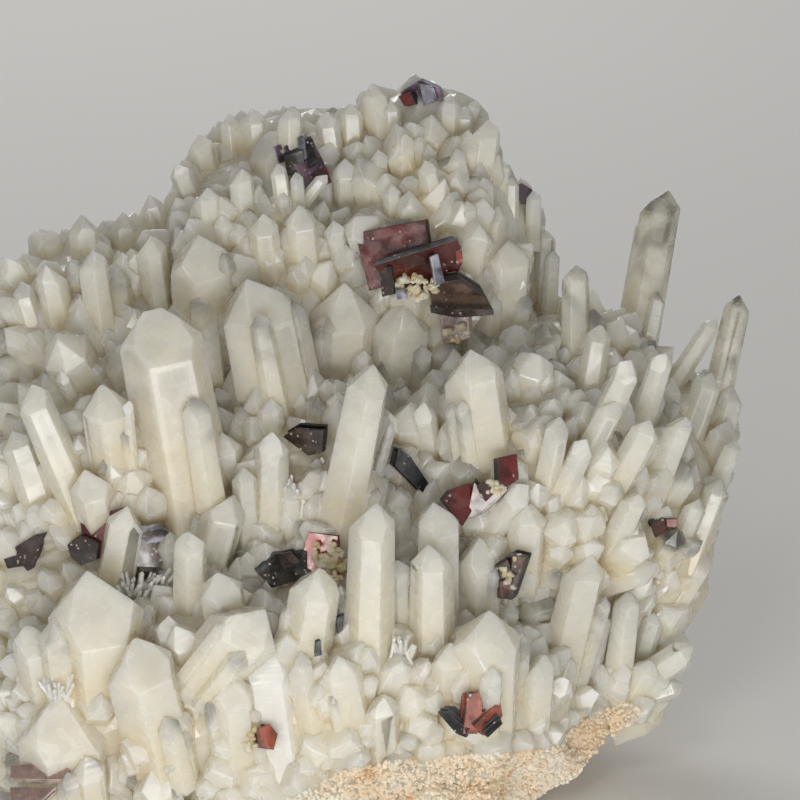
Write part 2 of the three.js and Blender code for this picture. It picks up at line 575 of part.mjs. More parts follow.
const specimen = new THREE.Group();
specimen.add(meshOf('matrix_rock', rock, COLOURS.rock));
specimen.add(meshOf('quartz_cluster', quartz, COLOURS.quartz));
for (const { name, solid } of plates) {
  specimen.add(meshOf(name, outerBody(solid.subtract(grainRoom)), COLOURS.huebnerite));
}
for (const { name, solid } of grains) specimen.add(meshOf(name, solid, COLOURS.grains));

export default specimen;
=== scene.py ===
"""Huebnerite on quartz: milky to clear quartz crystals on tan rock, set with dark red huebnerite.

Sizes are in millimetres until a mesh is made, and the frame's metres from there on. Places named "at", "tip",
"root", "outline" or "corners" are pixels of the 800 px photograph, right and down.
"""
import json
import math
from collections import namedtuple
from itertools import combinations

import bmesh
import bpy
import numpy as np
from mathutils import Matrix, Vector, noise
from mathutils.bvhtree import BVHTree

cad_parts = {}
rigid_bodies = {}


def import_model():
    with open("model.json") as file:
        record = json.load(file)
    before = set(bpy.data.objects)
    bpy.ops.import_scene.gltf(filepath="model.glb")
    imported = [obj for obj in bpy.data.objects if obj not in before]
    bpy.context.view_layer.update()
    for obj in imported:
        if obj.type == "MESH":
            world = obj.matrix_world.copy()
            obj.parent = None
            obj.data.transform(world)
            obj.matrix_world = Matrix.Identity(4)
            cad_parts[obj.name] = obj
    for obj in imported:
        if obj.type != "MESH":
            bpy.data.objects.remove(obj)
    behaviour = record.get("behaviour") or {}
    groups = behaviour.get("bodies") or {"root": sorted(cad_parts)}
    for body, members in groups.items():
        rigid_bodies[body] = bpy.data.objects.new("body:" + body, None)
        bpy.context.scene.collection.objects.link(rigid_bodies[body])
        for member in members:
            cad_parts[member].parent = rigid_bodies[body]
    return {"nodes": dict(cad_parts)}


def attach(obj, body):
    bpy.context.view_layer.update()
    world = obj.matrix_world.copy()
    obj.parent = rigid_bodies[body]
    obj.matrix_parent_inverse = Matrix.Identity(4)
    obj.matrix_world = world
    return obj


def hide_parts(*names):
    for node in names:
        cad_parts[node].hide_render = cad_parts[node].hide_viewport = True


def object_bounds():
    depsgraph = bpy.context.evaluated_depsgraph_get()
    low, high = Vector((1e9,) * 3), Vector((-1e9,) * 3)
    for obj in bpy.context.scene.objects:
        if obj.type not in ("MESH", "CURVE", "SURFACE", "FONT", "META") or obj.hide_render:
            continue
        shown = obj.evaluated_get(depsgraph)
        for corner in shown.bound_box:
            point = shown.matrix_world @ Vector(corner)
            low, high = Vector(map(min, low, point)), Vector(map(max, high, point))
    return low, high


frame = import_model()
CAD_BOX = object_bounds()
MM = 0.001


def unit(vector):
    return vector / np.linalg.norm(vector)


Crystal = namedtuple(
    "Crystal", "tip root width lean roll depth clear shows proud", defaults=(15, 0, None, 0.2, "", 0)
)
Lump = namedtuple("Lump", "centre axes size")
Plate = namedtuple("Plate", "outline proud turn tilt thickness layers tone depth", defaults=(4, "red", None))
Tone = namedtuple("Tone", "face edge metal clear")
Fan = namedtuple("Fan", "at heading spread length count")
Grains = namedtuple("Grains", "corners proud count")

# The view of the photograph
PHOTO_PIXELS = 800
PHOTO_CENTRE = PHOTO_PIXELS / 2
PHOTO_WIDTH = 120
MM_PER_PIXEL = PHOTO_WIDTH / PHOTO_PIXELS
VIEW_DISTANCE = 500
VIEW_ELEVATION = math.radians(20)
SENSOR_WIDTH = 36
CAMERA_REACH = (0.01, 20)
TARGET = np.array([18.0, 4.0, 60.0])
RIGHT = np.array([1.0, 0.0, 0.0])
UPWARD = np.array([0.0, math.sin(VIEW_ELEVATION), math.cos(VIEW_ELEVATION)])
TOWARD = np.array([0.0, -math.cos(VIEW_ELEVATION), math.sin(VIEW_ELEVATION)])
PICTURE_AXES = np.array([RIGHT, UPWARD, TOWARD])
CAMERA_PLACE = TARGET + TOWARD * VIEW_DISTANCE

# Lights: name, way to it, distance and size in metres, watts and colour. Only the main light makes glints.
MAIN_LIGHT_WAY = (-0.28, -0.80, 0.86)
MAIN_LIGHT_DISTANCE = 900
MAIN_LIGHT_PLACE = TARGET + unit(np.array(MAIN_LIGHT_WAY)) * MAIN_LIGHT_DISTANCE
SOFTBOXES = [
    ("main_light", MAIN_LIGHT_WAY, MAIN_LIGHT_DISTANCE * MM, (0.26, 0.26), 0.85, (1.0, 0.985, 0.955)),
    ("front_light", (0.0, -1.0, -0.06), 0.26, (0.3, 0.07), 0.44, (1.0, 0.99, 0.97)),
    ("back_light", (-0.2, 1.0, 0.8), 1.0, (0.5, 0.3), 2.6, (1.0, 1.0, 1.0)),
]
WORLD_COLOUR = (0.69, 0.70, 0.71, 1.0)
WORLD_STRENGTH = 0.33
FLOOR_SIZE = 6
FLOOR_DROP = 0.0002

# Nature's irregularity: the strides of the repeatable numbers, the roughness, step and number of a fractal's
# octaves, and the seed of the random numbers
FIRST_STRIDE = 12.9898
SECOND_STRIDE = 78.233
CHANCE_SCALE = 43758.5453
FRACTAL = (1.0, 2.0, 4)
SEED = 20

# Which of its repeatable numbers a crystal or plate takes for each thing, and where the counters start
END_FACE_DRAW = 10
ROLL_DRAW = 31
LAYER_SIZE_DRAW = 50
LAYER_SHIFT_DRAWS = (60, 70)
WINDOW_DRAW = 80
RIM_DRAW = 90
CLEARNESS_DRAW = 100
PLATE_KEY_STEP = 10
SATELLITE_KEY_STEP = 7
FIRST_SMALL_KEY = 200
FIRST_FORM_KEY = 500
FIRST_SCATTER_KEY = 1000

# A quartz crystal: six prism faces, and six end faces whose normals stand this far above those of the prism
END_FACE_RISE = math.radians(38.2)
PRISM_TAPER = math.radians(1.2)
END_FACE_SPREAD = 0.34
MINOR_FACE_SETBACK = 0.12
PRISM_FACE_SPREAD = 0.16
GLINT_LEAD = 0.35
LEANS_TRIED = range(-10, 66)
FLAT_ANGLE = math.radians(0.6)
CRYSTAL_PLANES = 13
PLANE_TOLERANCE = 1e-5
CORNER_TOLERANCE = 1e-3
CRYSTAL_SINK = 4
CRYSTAL_BEVEL = 0.09
SMALL_SINK = 3
SMALL_BEVEL = 0.06
ROOT_BACKSTEP = 1.5

# Small crystals are made from a few forms, drawn out to their lengths
SMALL_FORMS = 48
FORM_LENGTH = 6
FORM_SPREAD = 0.5
ROLL_RANGE = 60

# The clearer middles of some prism faces
WINDOW_LEAST_AREA = 0.25
WINDOW_LEAST_WIDTH = 3.5
WINDOW_SHARE = 0.16
WINDOW_RIM = 0.10
WINDOW_CLEARNESS = 0.5
WINDOW_WAY = unit(TOWARD + 0.5 * RIGHT)
PRISM_LEAN = 0.2
HAZE_RIM = (0.06, 0.14)
HAZE_CLEARNESS = (0.08, 0.14)
# How much of the whiter base colour the striated crystal takes; on it this colour is painted sheen
WHITE_AND_SHEEN_SHARE = 0.55

# Small crystals over the massive quartz: widths, lengths by width, crowding, tries and bevel of each class
SCATTER_CLASSES = [
    ((5.0, 7.5), (0.6, 1.1), 0.15, 2600, 0.14),
    ((3.4, 5.0), (0.7, 1.35), 0.16, 3200, 0.10),
    ((2.0, 3.0), (0.9, 1.6), 0.27, 1500, 0),
    ((1.1, 1.7), (1.1, 2.0), 0.42, 200, 0),
]
GROWTH_CENTRE = np.array([15.0, 30.0, -35.0])
GROWTH_JITTER = 0.17
NORMAL_SHARE = 0.7
FIELD_SHARE = 0.6
UPWARD_SHARE = 0.25
BARE_SHARE = 0.3
CALM_LEAST_WIDTH = 3.4
STUB = 0.45
LEAST_TIP_HEIGHT = 3
CLEAR_SHARE = 0.12
CLEAR_CLEARNESS = 0.5
MILKY_CLEARNESS = (0.0, 0.25)
SCATTER_SINK = 0.8
INSIDE_SPAN = (-0.2, 0.9)
INSIDE_WIDTH = 0.36
PROBE_SHARES = (0, 0.2, 0.4, 0.6, 0.8, 1)
MIDDLE_SHARE = 0.6
PROBE_SIDES = (-1.15, -0.6, 0, 0.6, 1.15)
BOX_MARGIN = 0.15

# Crystals side by side with a large one, by its width or length
SATELLITE_LEAST_WIDTH = 6
SATELLITE_MANY_WIDTH = 8
SATELLITE_COUNTS = (2, 3)
SATELLITE_WIDTH = (0.26, 0.42)
SATELLITE_OVERLAP = 0.12
SATELLITE_START = (0.0, 0.15)
SATELLITE_HEIGHT = (0.3, 0.72)
SATELLITE_SPLAY = (0.0, 0.10)
SATELLITE_CLEARNESS = 0.45

# Needles in their fans
FAN_ROOM = 14
FAN_PROUD = 3.2
NEEDLE_LEAN = (5, 55)
NEEDLE_FOOT = (1.6, 0.8)
NEEDLE_SHARE = (0.6, 1.0)
NEEDLE_WIDTH = (0.45, 0.8)
NEEDLE_CLEARNESS = 0.2
NEEDLE_SINK = 2.0
# How much of the whiter base colour the needles take; the same colour is painted sheen on the striated
# crystal
NEEDLE_WHITENESS = 0.55

# The massive quartz that the crystals stand on: place, depth, half widths to the right, upward and toward the
# viewer, and the skin round it
QUARTZ_LUMPS = [
    ((285, 685), -4, (36, 19, 19)),
    ((105, 690), -6, (17, 17, 17)),
    ((430, 690), -6, (21, 13, 17)),
    ((125, 490), -14, (20, 18, 18)),
    ((330, 520), -15, (26, 20, 18)),
    ((520, 500), -16, (22, 21, 18)),
    ((635, 520), -21, (11, 20, 13)),
    ((668, 452), -26, (7, 11, 7)),
    ((105, 335), -22, (16, 13, 15)),
    ((265, 300), -26, (19, 22, 18)),
    ((420, 265), -27, (17, 20, 16)),
    ((345, 175), -29, (22, 9, 11)),
    ((425, 135), -26, (10, 6, 8)),
    ((560, 400), -23, (13, 13, 13)),
    ((48, 590), -7, (9, 9, 11)),
    ((330, 480), -30, (36, 32, 12)),
    ((610, 684), -13, (8, 4.6, 4.5)),
]
QUARTZ_CORE = ((340, 480), -20)
SKIN_GROWTH = 1.4
SKIN_SUNK = 0.6
SKIN_DETAIL = 6
SKIN_ROUGHNESS = 0.7
SKIN_NOISE = 0.16
SKIN_CELLS = 0.22
SKIN_SAMPLES = 60000
SKIN_SPAN = 0.04
QUARTZ_FLOOR = 1.2
BLOCK_SIZE = 0.4

# Plates: layers that shrink and shift a little, each set against the next
LAYER_STEP = 0.12
LAYER_SHIFT = 1.0
LAYER_DRIFT = 8
LAYER_OVERLAP = 0.05
PLATE_BEVEL = 0.07
FLAT_ON = 0.8

# Cream grains, the rock's surface and its crust
GRAIN_SIZE = (0.35, 0.8)
GRAIN_SHAPE = (0.6, 1.15)
GRAIN_SUNK = 1.6
GRAIN_HEAP = 0.9
GRAIN_ROUGHNESS = 0.5
GRAIN_NOISE = 1.9
GRAIN_STEP = 7.1
ROCK_VOXEL = 0.9
ROCK_ROUGHNESS = 1.1
ROCK_NOISE = 0.2
ROCK_GRAIN = 1.0
ROCK_CELLS = 0.36
ROCK_FOOT = 0.5
ROCK_LEAST_HEIGHT = 0.2
CRUST_TRIES = 10000
CRUST_GRAIN_SIZE = (0.2, 0.52)
CRUST_GRAIN_SHAPE = (0.6, 1.1)
CRUST_GRAIN_ROUGHNESS = (0.8, 1.2)
CRUST_SUNK = 0.3

# Colours: linear ones of the quartz and display ones of the rest. A plate's tone has the colours of its faces
# and edges, and how metallic and how clear it is.
QUARTZ_BODY = (0.77, 0.735, 0.645, 1.0)
# Painted shade: the quartz turns warmer and a little darker towards the roots of crystals and low on the
# massive quartz, where shade falls between crystals
QUARTZ_PAINTED_ROOT_SHADE = (0.77, 0.715, 0.57, 1.0)
QUARTZ_STAIN = (0.74, 0.62, 0.41, 1.0)
# Partly painted sheen: a whiter base colour for the striated crystal whose prism face throws the main light,
# and for the fine needles
QUARTZ_WHITE_AND_PAINTED_SHEEN = (0.86, 0.86, 0.85, 1.0)
ROCK_BODY = ((244, 220, 186), (250, 240, 222))
ROCK_PALE = (250, 242, 228)
ROCK_STAIN = (236, 202, 160)
HUEBNERITE_SPECK = (214, 202, 190)
CREAM_BODY = ((222, 190, 138), (240, 226, 196))
FLOOR_BODY = ((238, 236, 232), (243, 241, 237))
TONES = {
    "red": Tone((120, 40, 36), (42, 36, 38), 0.1, 0.35),
    "bright": Tone((176, 66, 50), (110, 50, 44), 0.1, 0.3),
    "deep": Tone((88, 24, 24), (66, 66, 68), 0.15, 0.2),
    "brown": Tone((70, 54, 50), (48, 42, 42), 0.3, 0.0),
    "umber": Tone((104, 84, 72), (64, 54, 50), 0.15, 0.0),
    "black": Tone((44, 44, 47), (74, 76, 80), 0.5, 0.0),
    "purple": Tone((142, 110, 130), (176, 172, 190), 0.7, 0.0),
    "silver": Tone((180, 178, 192), (205, 205, 215), 0.9, 0.0),
    "pink": Tone((178, 148, 140), (190, 170, 160), 0.0, 0.6),
    "orange": Tone((156, 76, 54), (120, 56, 42), 0.0, 0.0),
}

# Patterns of the looks: the scale of a noise for each metre, its detail and its roughness
VEIL = (190, 1, 0.6)
WISPS = (560, 0)
STAIN = (70, 1, 0.6)
RIPPLES = (300, 0)
GROOVES = 2600
ROCK_PATCHES = (110, 3, 0.6)
ROCK_DOTS = (1500, 1)
ROCK_CLOUDS = (260, 2)
ROCK_SPARKLES = 1900
ROCK_PITS = 1100
PLATE_PATCHES = (260, 3, 0.6)
PLATE_DOTS = 1100
PLATE_DOT_FIELD = (300, 1)
PLATE_GRAIN = (1600, 2)
PLATE_WAVES = (420, 1)
PLATE_POLISH = (500, 2)
PLATE_METAL = (330, 2)
CREAM_PATCHES = (500, 3)
CREAM_GRAIN = (1400, 3)
FLOOR_PATCHES = (3, 3)

# How the patterns are spread: from the lowest to the highest value, and what these two become
CLEAR_ALONG = (0.05, 0.9)
VEIL_SPREAD = (0.38, 0.62, 0.45, 1.2)
TRANSMISSION_SPREAD = (0.0, 1.0, 0.04, 0.92)
# Painted shade: how far up from the roots of crystals the quartz takes its painted shade colour
ROOT_SHADE_SPREAD = (0.05, 0.7, 1.0, 0.0)
STAIN_SPREAD = (0.5, 0.72)
STAIN_SHARE = (0.0, 1.0, 0.15, 0.6)
WISPS_SPREAD = (0.3, 0.7, 0.14, 0.34)
ROCK_PATCH_SPREAD = (0.38, 0.62)
ROCK_DOT_SPREAD = (0.55, 0.7)
ROCK_CLOUD_SPREAD = (0.58, 0.7)
SPARKLE_SPREAD = (0.0, 0.6, 0.12, 0.6)
PLATE_PATCH_SPREAD = (0.36, 0.62)
PLATE_SHADE = (0.0, 1.0, 0.4, 1.1)
PLATE_DOT_SPREAD = (0.15, 0.25, 0.8, 0.0)
PLATE_DOT_FIELD_SPREAD = (0.5, 0.6)
PLATE_POLISH_SPREAD = (0.35, 0.65, 0.16, 0.34)
PLATE_METAL_SPREAD = (0.36, 0.58)
CREAM_SPREAD = (0.4, 0.6)

# Reliefs in millimetres and their strength, and the shares and lengths of the shaders
QUARTZ_RELIEF = (0.14, 0.45)
GROOVE_DEPTHS = (0.9, 0.14)
RIPPLE_DEPTH = 0.7
ROCK_RELIEF = (0.25, 0.8)
PLATE_RELIEF = (0.16, 0.5)
PLATE_EDGE_ROUGHNESS = 0.3
CREAM_RELIEF = (0.06, 0.5)
QUARTZ_SCATTER_RADIUS = (1.0, 0.88, 0.66)
QUARTZ_SCATTER_SCALE = 9
QUARTZ_SCATTER = (-0.65, 0.75)
QUARTZ_IOR = 1.544
ROCK_SCATTER = 0.15
HUEBNERITE_IOR = 1.9
CREAM_ROUGHNESS = 0.45
CREAM_SCATTER = 0.3
FLOOR_ROUGHNESS = 0.75

# Crystals that the photograph shows: tip, root, width in millimetres, lean and roll in degrees
TOP_RIDGE = [
    Crystal((50, 229), (58, 262), 4.0),
    Crystal((82, 214), (87, 265), 4.8, roll=20),
    Crystal((124, 212), (127, 255), 4.4, roll=8),
    Crystal((148, 195), (162, 240), 3.6),
    Crystal((177, 163), (195, 205), 3.6, 25),
    Crystal((200, 134), (208, 180), 4.4, 30, 12),
    Crystal((229, 113), (234, 158), 3.8, roll=25),
    Crystal((252, 108), (258, 156), 4.2, roll=10),
    Crystal((290, 106), (291, 142), 3.7, roll=22, proud=6),
    Crystal((325, 112), (332, 155), 3.8, 20),
    Crystal((350, 103), (352, 145), 3.4, roll=5),
    Crystal((373, 83), (383, 140), 4.6, 8, 14),
    Crystal((414, 73), (408, 122), 3.8, 4, 26, depth=-24),
    Crystal((450, 94), (447, 135), 3.6, 8),
    Crystal((488, 119), (480, 178), 5.2, 22, 18),
    Crystal((520, 177), (522, 255), 4.2, 6, 30, depth=-26),
    Crystal((547, 230), (542, 345), 3.6, 10, 4, depth=-27),
    Crystal((508, 238), (500, 335), 8.4, 20, 20),
    Crystal((576, 264), (577, 355), 4.6, 10, 12, clear=0.6),
]
RIGHT_SIDE = [
    Crystal((664, 189), (632, 360), 7.4, 6, 10, depth=-26, clear=0.8),
    Crystal((740, 295), (706, 445), 5.2, 6, 6, depth=-26, clear=0.8),
    Crystal((716, 318), (664, 400), 3.4, 8, depth=-23),
    Crystal((734, 386), (700, 500), 4.8, 10, 22, depth=-26),
    Crystal((712, 372), (672, 480), 5.0, 18, 9, depth=-22),
    Crystal((722, 478), (690, 560), 4.6, 8, 2),
    Crystal((632, 362), (588, 455), 4.6, 25, 15, shows="glint"),
    Crystal((664, 354), (636, 440), 4.0, 18, 5, shows="glint"),
    Crystal((600, 325), (588, 400), 4.0, 14),
    Crystal((560, 418), (545, 492), 4.4, 26, 28),
    Crystal((616, 400), (578, 470), 4.2, 30, 20),
    Crystal((652, 420), (606, 505), 4.8, 28, 8),
    Crystal((684, 415), (648, 505), 4.8, 22, 25),
    Crystal((586, 440), (556, 505), 3.8, 32, 10, shows="glint"),
    Crystal((640, 492), (606, 560), 4.4, 35, 18),
    Crystal((708, 554), (672, 610), 4.2, 10, 20),
    Crystal((690, 600), (650, 645), 4.0, 15),
    Crystal((695, 646), (640, 682), 5.0, 14, 10),
    Crystal((684, 684), (634, 700), 3.6, 8),
    Crystal((628, 592), (617, 680), 4.8, 20, 24),
    Crystal((626, 556), (622, 600), 4.8, 55, 6),
    Crystal((590, 553), (562, 665), 7.2, 24, 16),
    Crystal((601, 613), (582, 700), 4.2, 26, 4),
]
UPPER_WALL = [
    Crystal((404, 134), (404, 172), 4.0, 30, 20),
    Crystal((197, 236), (203, 310), 9.0, 35, 25),
    Crystal((206, 186), (212, 238), 4.4, 28, 8),
    Crystal((240, 168), (245, 222), 4.2, 28, 20),
    Crystal((345, 158), (346, 206), 4.6, 30, 5),
    Crystal((300, 206), (304, 262), 4.8, 32, 15),
    Crystal((262, 214), (268, 270), 4.6, 32, 2),
    Crystal((150, 236), (158, 300), 5.0, 28, 12),
    Crystal((92, 250), (102, 322), 5.0, 26, 26),
    Crystal((48, 264), (60, 320), 4.6, 28),
]
CENTRE_LEFT = [
    Crystal((155, 310), (192, 505), 12.6, 20, 10),
    Crystal((204, 288), (214, 410), 4.8, 12, 20),
    Crystal((250, 278), (276, 410), 11.4, 24, 28),
    Crystal((347, 284), (342, 385), 11.0, 36, 6),
    Crystal((402, 292), (396, 400), 10.4, 30, 22),
    Crystal((220, 430), (224, 485), 6.4, 38, 12),
    Crystal((56, 338), (84, 388), 7.8, 50, 14),
    Crystal((20, 282), (34, 325), 3.6, 16),
    Crystal((28, 386), (78, 500), 5.8, 18, 4),
    Crystal((102, 384), (116, 465), 8.0, 26, 24),
    Crystal((14, 430), (44, 520), 5.0, 14, 16),
    Crystal((88, 468), (102, 525), 6.8, 36, 6),
    Crystal((166, 530), (172, 580), 4.6, 36, 18),
]
CENTRE = [
    Crystal((372, 365), (333, 562), 7.6, 24, 26),
    Crystal((366, 466), (358, 566), 6.6, 26, 10),
    Crystal((372, 504), (368, 655), 7.6, 22, 2),
    Crystal((470, 347), (484, 455), 9.2, 30, 12),
    Crystal((422, 403), (430, 460), 4.0, 30, 24, shows="glint"),
    Crystal((245, 466), (250, 565), 4.6, 24, 8),
    Crystal((272, 434), (271, 530), 5.4, 26, 20, shows="glint"),
    Crystal((230, 495), (206, 575), 6.6, 26, 14),
    Crystal((438, 502), (436, 610), 6.8, 22, 28),
    Crystal((432, 543), (432, 645), 6.6, 26, 4),
    Crystal((527, 487), (482, 540), 4.6, 34, 16, shows="glint"),
    Crystal((530, 502), (524, 565), 5.8, 34, 6),
    Crystal((478, 540), (478, 618), 6.4, 30, 22),
    Crystal((490, 610), (485, 700), 11.2, 34, 20),
    Crystal((318, 568), (306, 650), 7.4, 34, 10),
    Crystal((217, 574), (226, 625), 6.6, 40, 24),
    Crystal((265, 607), (216, 672), 10.4, 34, 8),
    Crystal((540, 566), (536, 610), 4.6, 34, 18),
]
FRONT = [
    Crystal((92, 572), (102, 665), 14.0, 32, 12),
    Crystal((130, 505), (116, 578), 6.0, 26, -14, proud=6.5, shows="window"),
    Crystal((190, 532), (190, 605), 5.4, 34, 20),
    Crystal((170, 616), (174, 665), 5.0, 46, 14, shows="glint"),
    Crystal((132, 640), (164, 758), 10.4, 32, 22),
    Crystal((191, 721), (202, 775), 4.2, 36, 22, shows="glint"),
    Crystal((60, 694), (72, 778), 13.6, 38, 16),
    Crystal((122, 729), (60, 772), 4.8, 20, 8),
    Crystal((264, 642), (284, 792), 9.2, 20, 14, shows="satin", proud=0.5),
    Crystal((298, 652), (316, 745), 4.6, 22, 28),
    Crystal((337, 655), (350, 715), 6.6, 40, 10),
    Crystal((382, 696), (384, 760), 5.2, 42, 14),
    Crystal((540, 655), (534, 722), 5.6, 34, 24),
    Crystal((448, 644), (450, 702), 5.4, 36, 12),
    Crystal((232, 676), (238, 748), 6.6, 36, 18),
    Crystal((150, 770), (160, 815), 6.4, 44, 22),
    Crystal((30, 626), (44, 690), 6.6, 30, 8),
    Crystal((26, 770), (40, 815), 7.0, 40, 26),
]

# Small crystals that the photograph shows between the large ones
SMALL_CRYSTALS = [
    Crystal((34, 231), (38, 256), 2.6),
    Crystal((66, 229), (70, 252), 3.0, roll=20),
    Crystal((102, 221), (108, 246), 3.4, roll=8),
    Crystal((141, 212), (146, 240), 2.8, roll=15),
    Crystal((158, 202), (166, 226), 2.6, roll=25),
    Crystal((191, 150), (198, 178), 3.0, roll=5),
    Crystal((214, 126), (219, 152), 2.8, roll=12),
    Crystal((240, 110), (243, 140), 2.6, roll=2),
    Crystal((266, 120), (270, 150), 2.6, roll=18),
    Crystal((277, 115), (280, 145), 2.8, roll=28),
    Crystal((308, 120), (312, 150), 3.0, roll=7),
    Crystal((340, 109), (342, 138), 2.4, roll=16),
    Crystal((362, 91), (367, 122), 2.6, roll=24),
    Crystal((390, 100), (393, 130), 3.0, roll=3),
    Crystal((465, 106), (463, 136), 3.0, roll=9),
    Crystal((477, 100), (468, 124), 2.2, 8, 27),
    Crystal((502, 160), (500, 196), 3.0, roll=14),
    Crystal((511, 176), (510, 214), 2.6, roll=4),
    Crystal((534, 190), (533, 232), 2.8, 8, 22),
    Crystal((553, 250), (550, 296), 2.4, 8, 13),
    Crystal((425, 160), (435, 202), 3.6, 26, 10),
    Crystal((455, 148), (462, 192), 3.4, 24, 26),
    Crystal((418, 136), (418, 168), 3.0, 28, 1),
    Crystal((468, 200), (468, 247), 3.4, 26, 17),
    Crystal((368, 176), (369, 200), 3.6, 30, 23),
    Crystal((392, 184), (394, 215), 2.8, 28, 6),
    Crystal((378, 150), (380, 180), 3.2, 30, 19),
    Crystal((484, 178), (484, 216), 3.4, 24, 29),
    Crystal((334, 220), (338, 262), 3.6, 32, 9),
    Crystal((322, 168), (324, 204), 3.2, 28, 15),
    Crystal((222, 214), (226, 250), 3.4, 30, 25),
    Crystal((282, 190), (286, 226), 2.8, 30, 11),
    Crystal((270, 398), (272, 440), 4.0, 34, 2),
    Crystal((128, 402), (132, 470), 2.0, 22, 13, shows="glint", proud=3),
    Crystal((72, 493), (76, 530), 2.2, 26, 5),
    Crystal((135, 485), (138, 530), 3.2, 28, 21),
    Crystal((60, 372), (76, 404), 2.8, 50, 10),
    Crystal((24, 350), (40, 388), 3.0, 30, 18),
    Crystal((592, 503), (586, 548), 3.6, 34, 16),
    Crystal((523, 578), (520, 622), 3.0, 24, 7, clear=0.8),
    Crystal((545, 598), (542, 640), 3.2, 26, 28),
    Crystal((700, 498), (676, 552), 3.8, 16, 12),
    Crystal((736, 440), (712, 500), 3.2, 4, 24),
    Crystal((418, 683), (424, 742), 3.6, 34, 8, shows="glint"),
    Crystal((490, 670), (490, 712), 3.0, 26, 20, clear=0.8, shows="glint"),
    Crystal((215, 772), (220, 808), 4.2, 34, 4),
    Crystal((332, 732), (336, 776), 4.4, 36, 26),
    Crystal((580, 618), (570, 668), 3.2, 28, 14),
    Crystal((655, 612), (640, 660), 3.4, 22, 2),
    Crystal((456, 560), (456, 606), 3.2, 30, 17),
    Crystal((398, 560), (400, 622), 4.0, 26, 23),
    Crystal((290, 484), (292, 540), 4.0, 26, 9),
    Crystal((312, 496), (310, 552), 3.2, 28, 27),
    Crystal((400, 500), (402, 560), 3.6, 24, 19),
    Crystal((506, 536), (502, 590), 3.4, 30, 3),
    Crystal((277, 164), (282, 196), 2.6, 20, 12, proud=5),
    Crystal((296, 172), (298, 200), 2.2, 20, 24, proud=5),
    Crystal((326, 174), (310, 194), 2.0, 20, 5, proud=6),
    Crystal((246, 522), (262, 566), 2.2, 24, 12),
    Crystal((262, 520), (272, 562), 2.0, 26, 22),
    Crystal((280, 526), (284, 560), 1.8, 28, 6),
    Crystal((600, 664), (598, 700), 3.8, 30, 11),
    Crystal((624, 664), (618, 702), 3.6, 34, 3),
    Crystal((652, 660), (636, 690), 4.6, 34, 22),
    Crystal((668, 668), (640, 698), 4.2, 24, 14),
    Crystal((582, 684), (580, 716), 3.4, 30, 27),
    Crystal((680, 529), (664, 552), 4.0, 44, 8, clear=0.9, proud=1.5),
    Crystal((728, 420), (708, 470), 4.6, 12, 16, depth=-22),
    Crystal((732, 462), (704, 496), 4.0, 14, 6, depth=-22),
]

# Fans of needles: where they spread from, the way and the half angle of the spread, their length and number
NEEDLE_FANS = [
    Fan(at=(128, 606), heading=8, spread=34, length=5.6, count=26),
    Fan(at=(62, 702), heading=-4, spread=40, length=5.2, count=30),
    Fan(at=(152, 592), heading=22, spread=26, length=4.0, count=14),
    Fan(at=(588, 352), heading=30, spread=24, length=3.4, count=12),
    Fan(at=(292, 500), heading=-6, spread=24, length=4.2, count=12),
    Fan(at=(640, 632), heading=24, spread=30, length=4.0, count=14),
    Fan(at=(402, 652), heading=0, spread=30, length=3.6, count=14),
]

# The outline of the specimen in the photograph, clockwise from its left edge
OUTLINE = [
    (-60, 800), (-60, 262), (22, 250), (37, 243), (34, 227), (64, 225), (82, 210), (124, 210), (143, 206),
    (148, 192), (166, 204), (172, 172), (177, 160), (192, 158), (190, 138), (214, 122), (240, 108),
    (266, 108), (290, 103), (325, 109), (350, 100), (373, 80), (398, 92), (414, 70), (440, 82),
    (463, 100), (478, 98), (480, 116), (502, 130), (504, 160), (520, 174), (536, 188), (552, 232),
    (560, 280), (576, 261), (596, 282), (606, 308), (628, 236), (645, 196), (664, 186), (680, 194),
    (678, 250), (670, 322), (690, 334), (730, 292), (755, 308), (744, 360), (742, 440), (732, 488),
    (722, 512), (712, 552), (700, 575), (688, 640), (698, 660), (680, 698), (640, 716), (600, 748),
    (565, 785), (540, 800), (540, 860), (-60, 860),
]

# Where the photograph shows few small crystals, and where tan crust covers the foot
CALM = [
    (-60, 640), (60, 560), (160, 560), (215, 640), (300, 690), (440, 745), (560, 690), (590, 700),
    (560, 744), (290, 790), (290, 860), (-60, 860),
]
CRUST = [
    (290, 800), (320, 782), (345, 770), (400, 760), (470, 755), (540, 750), (560, 744), (580, 720),
    (600, 712), (617, 703), (645, 706), (640, 716), (600, 748), (565, 785), (540, 800), (540, 860),
    (270, 860),
]

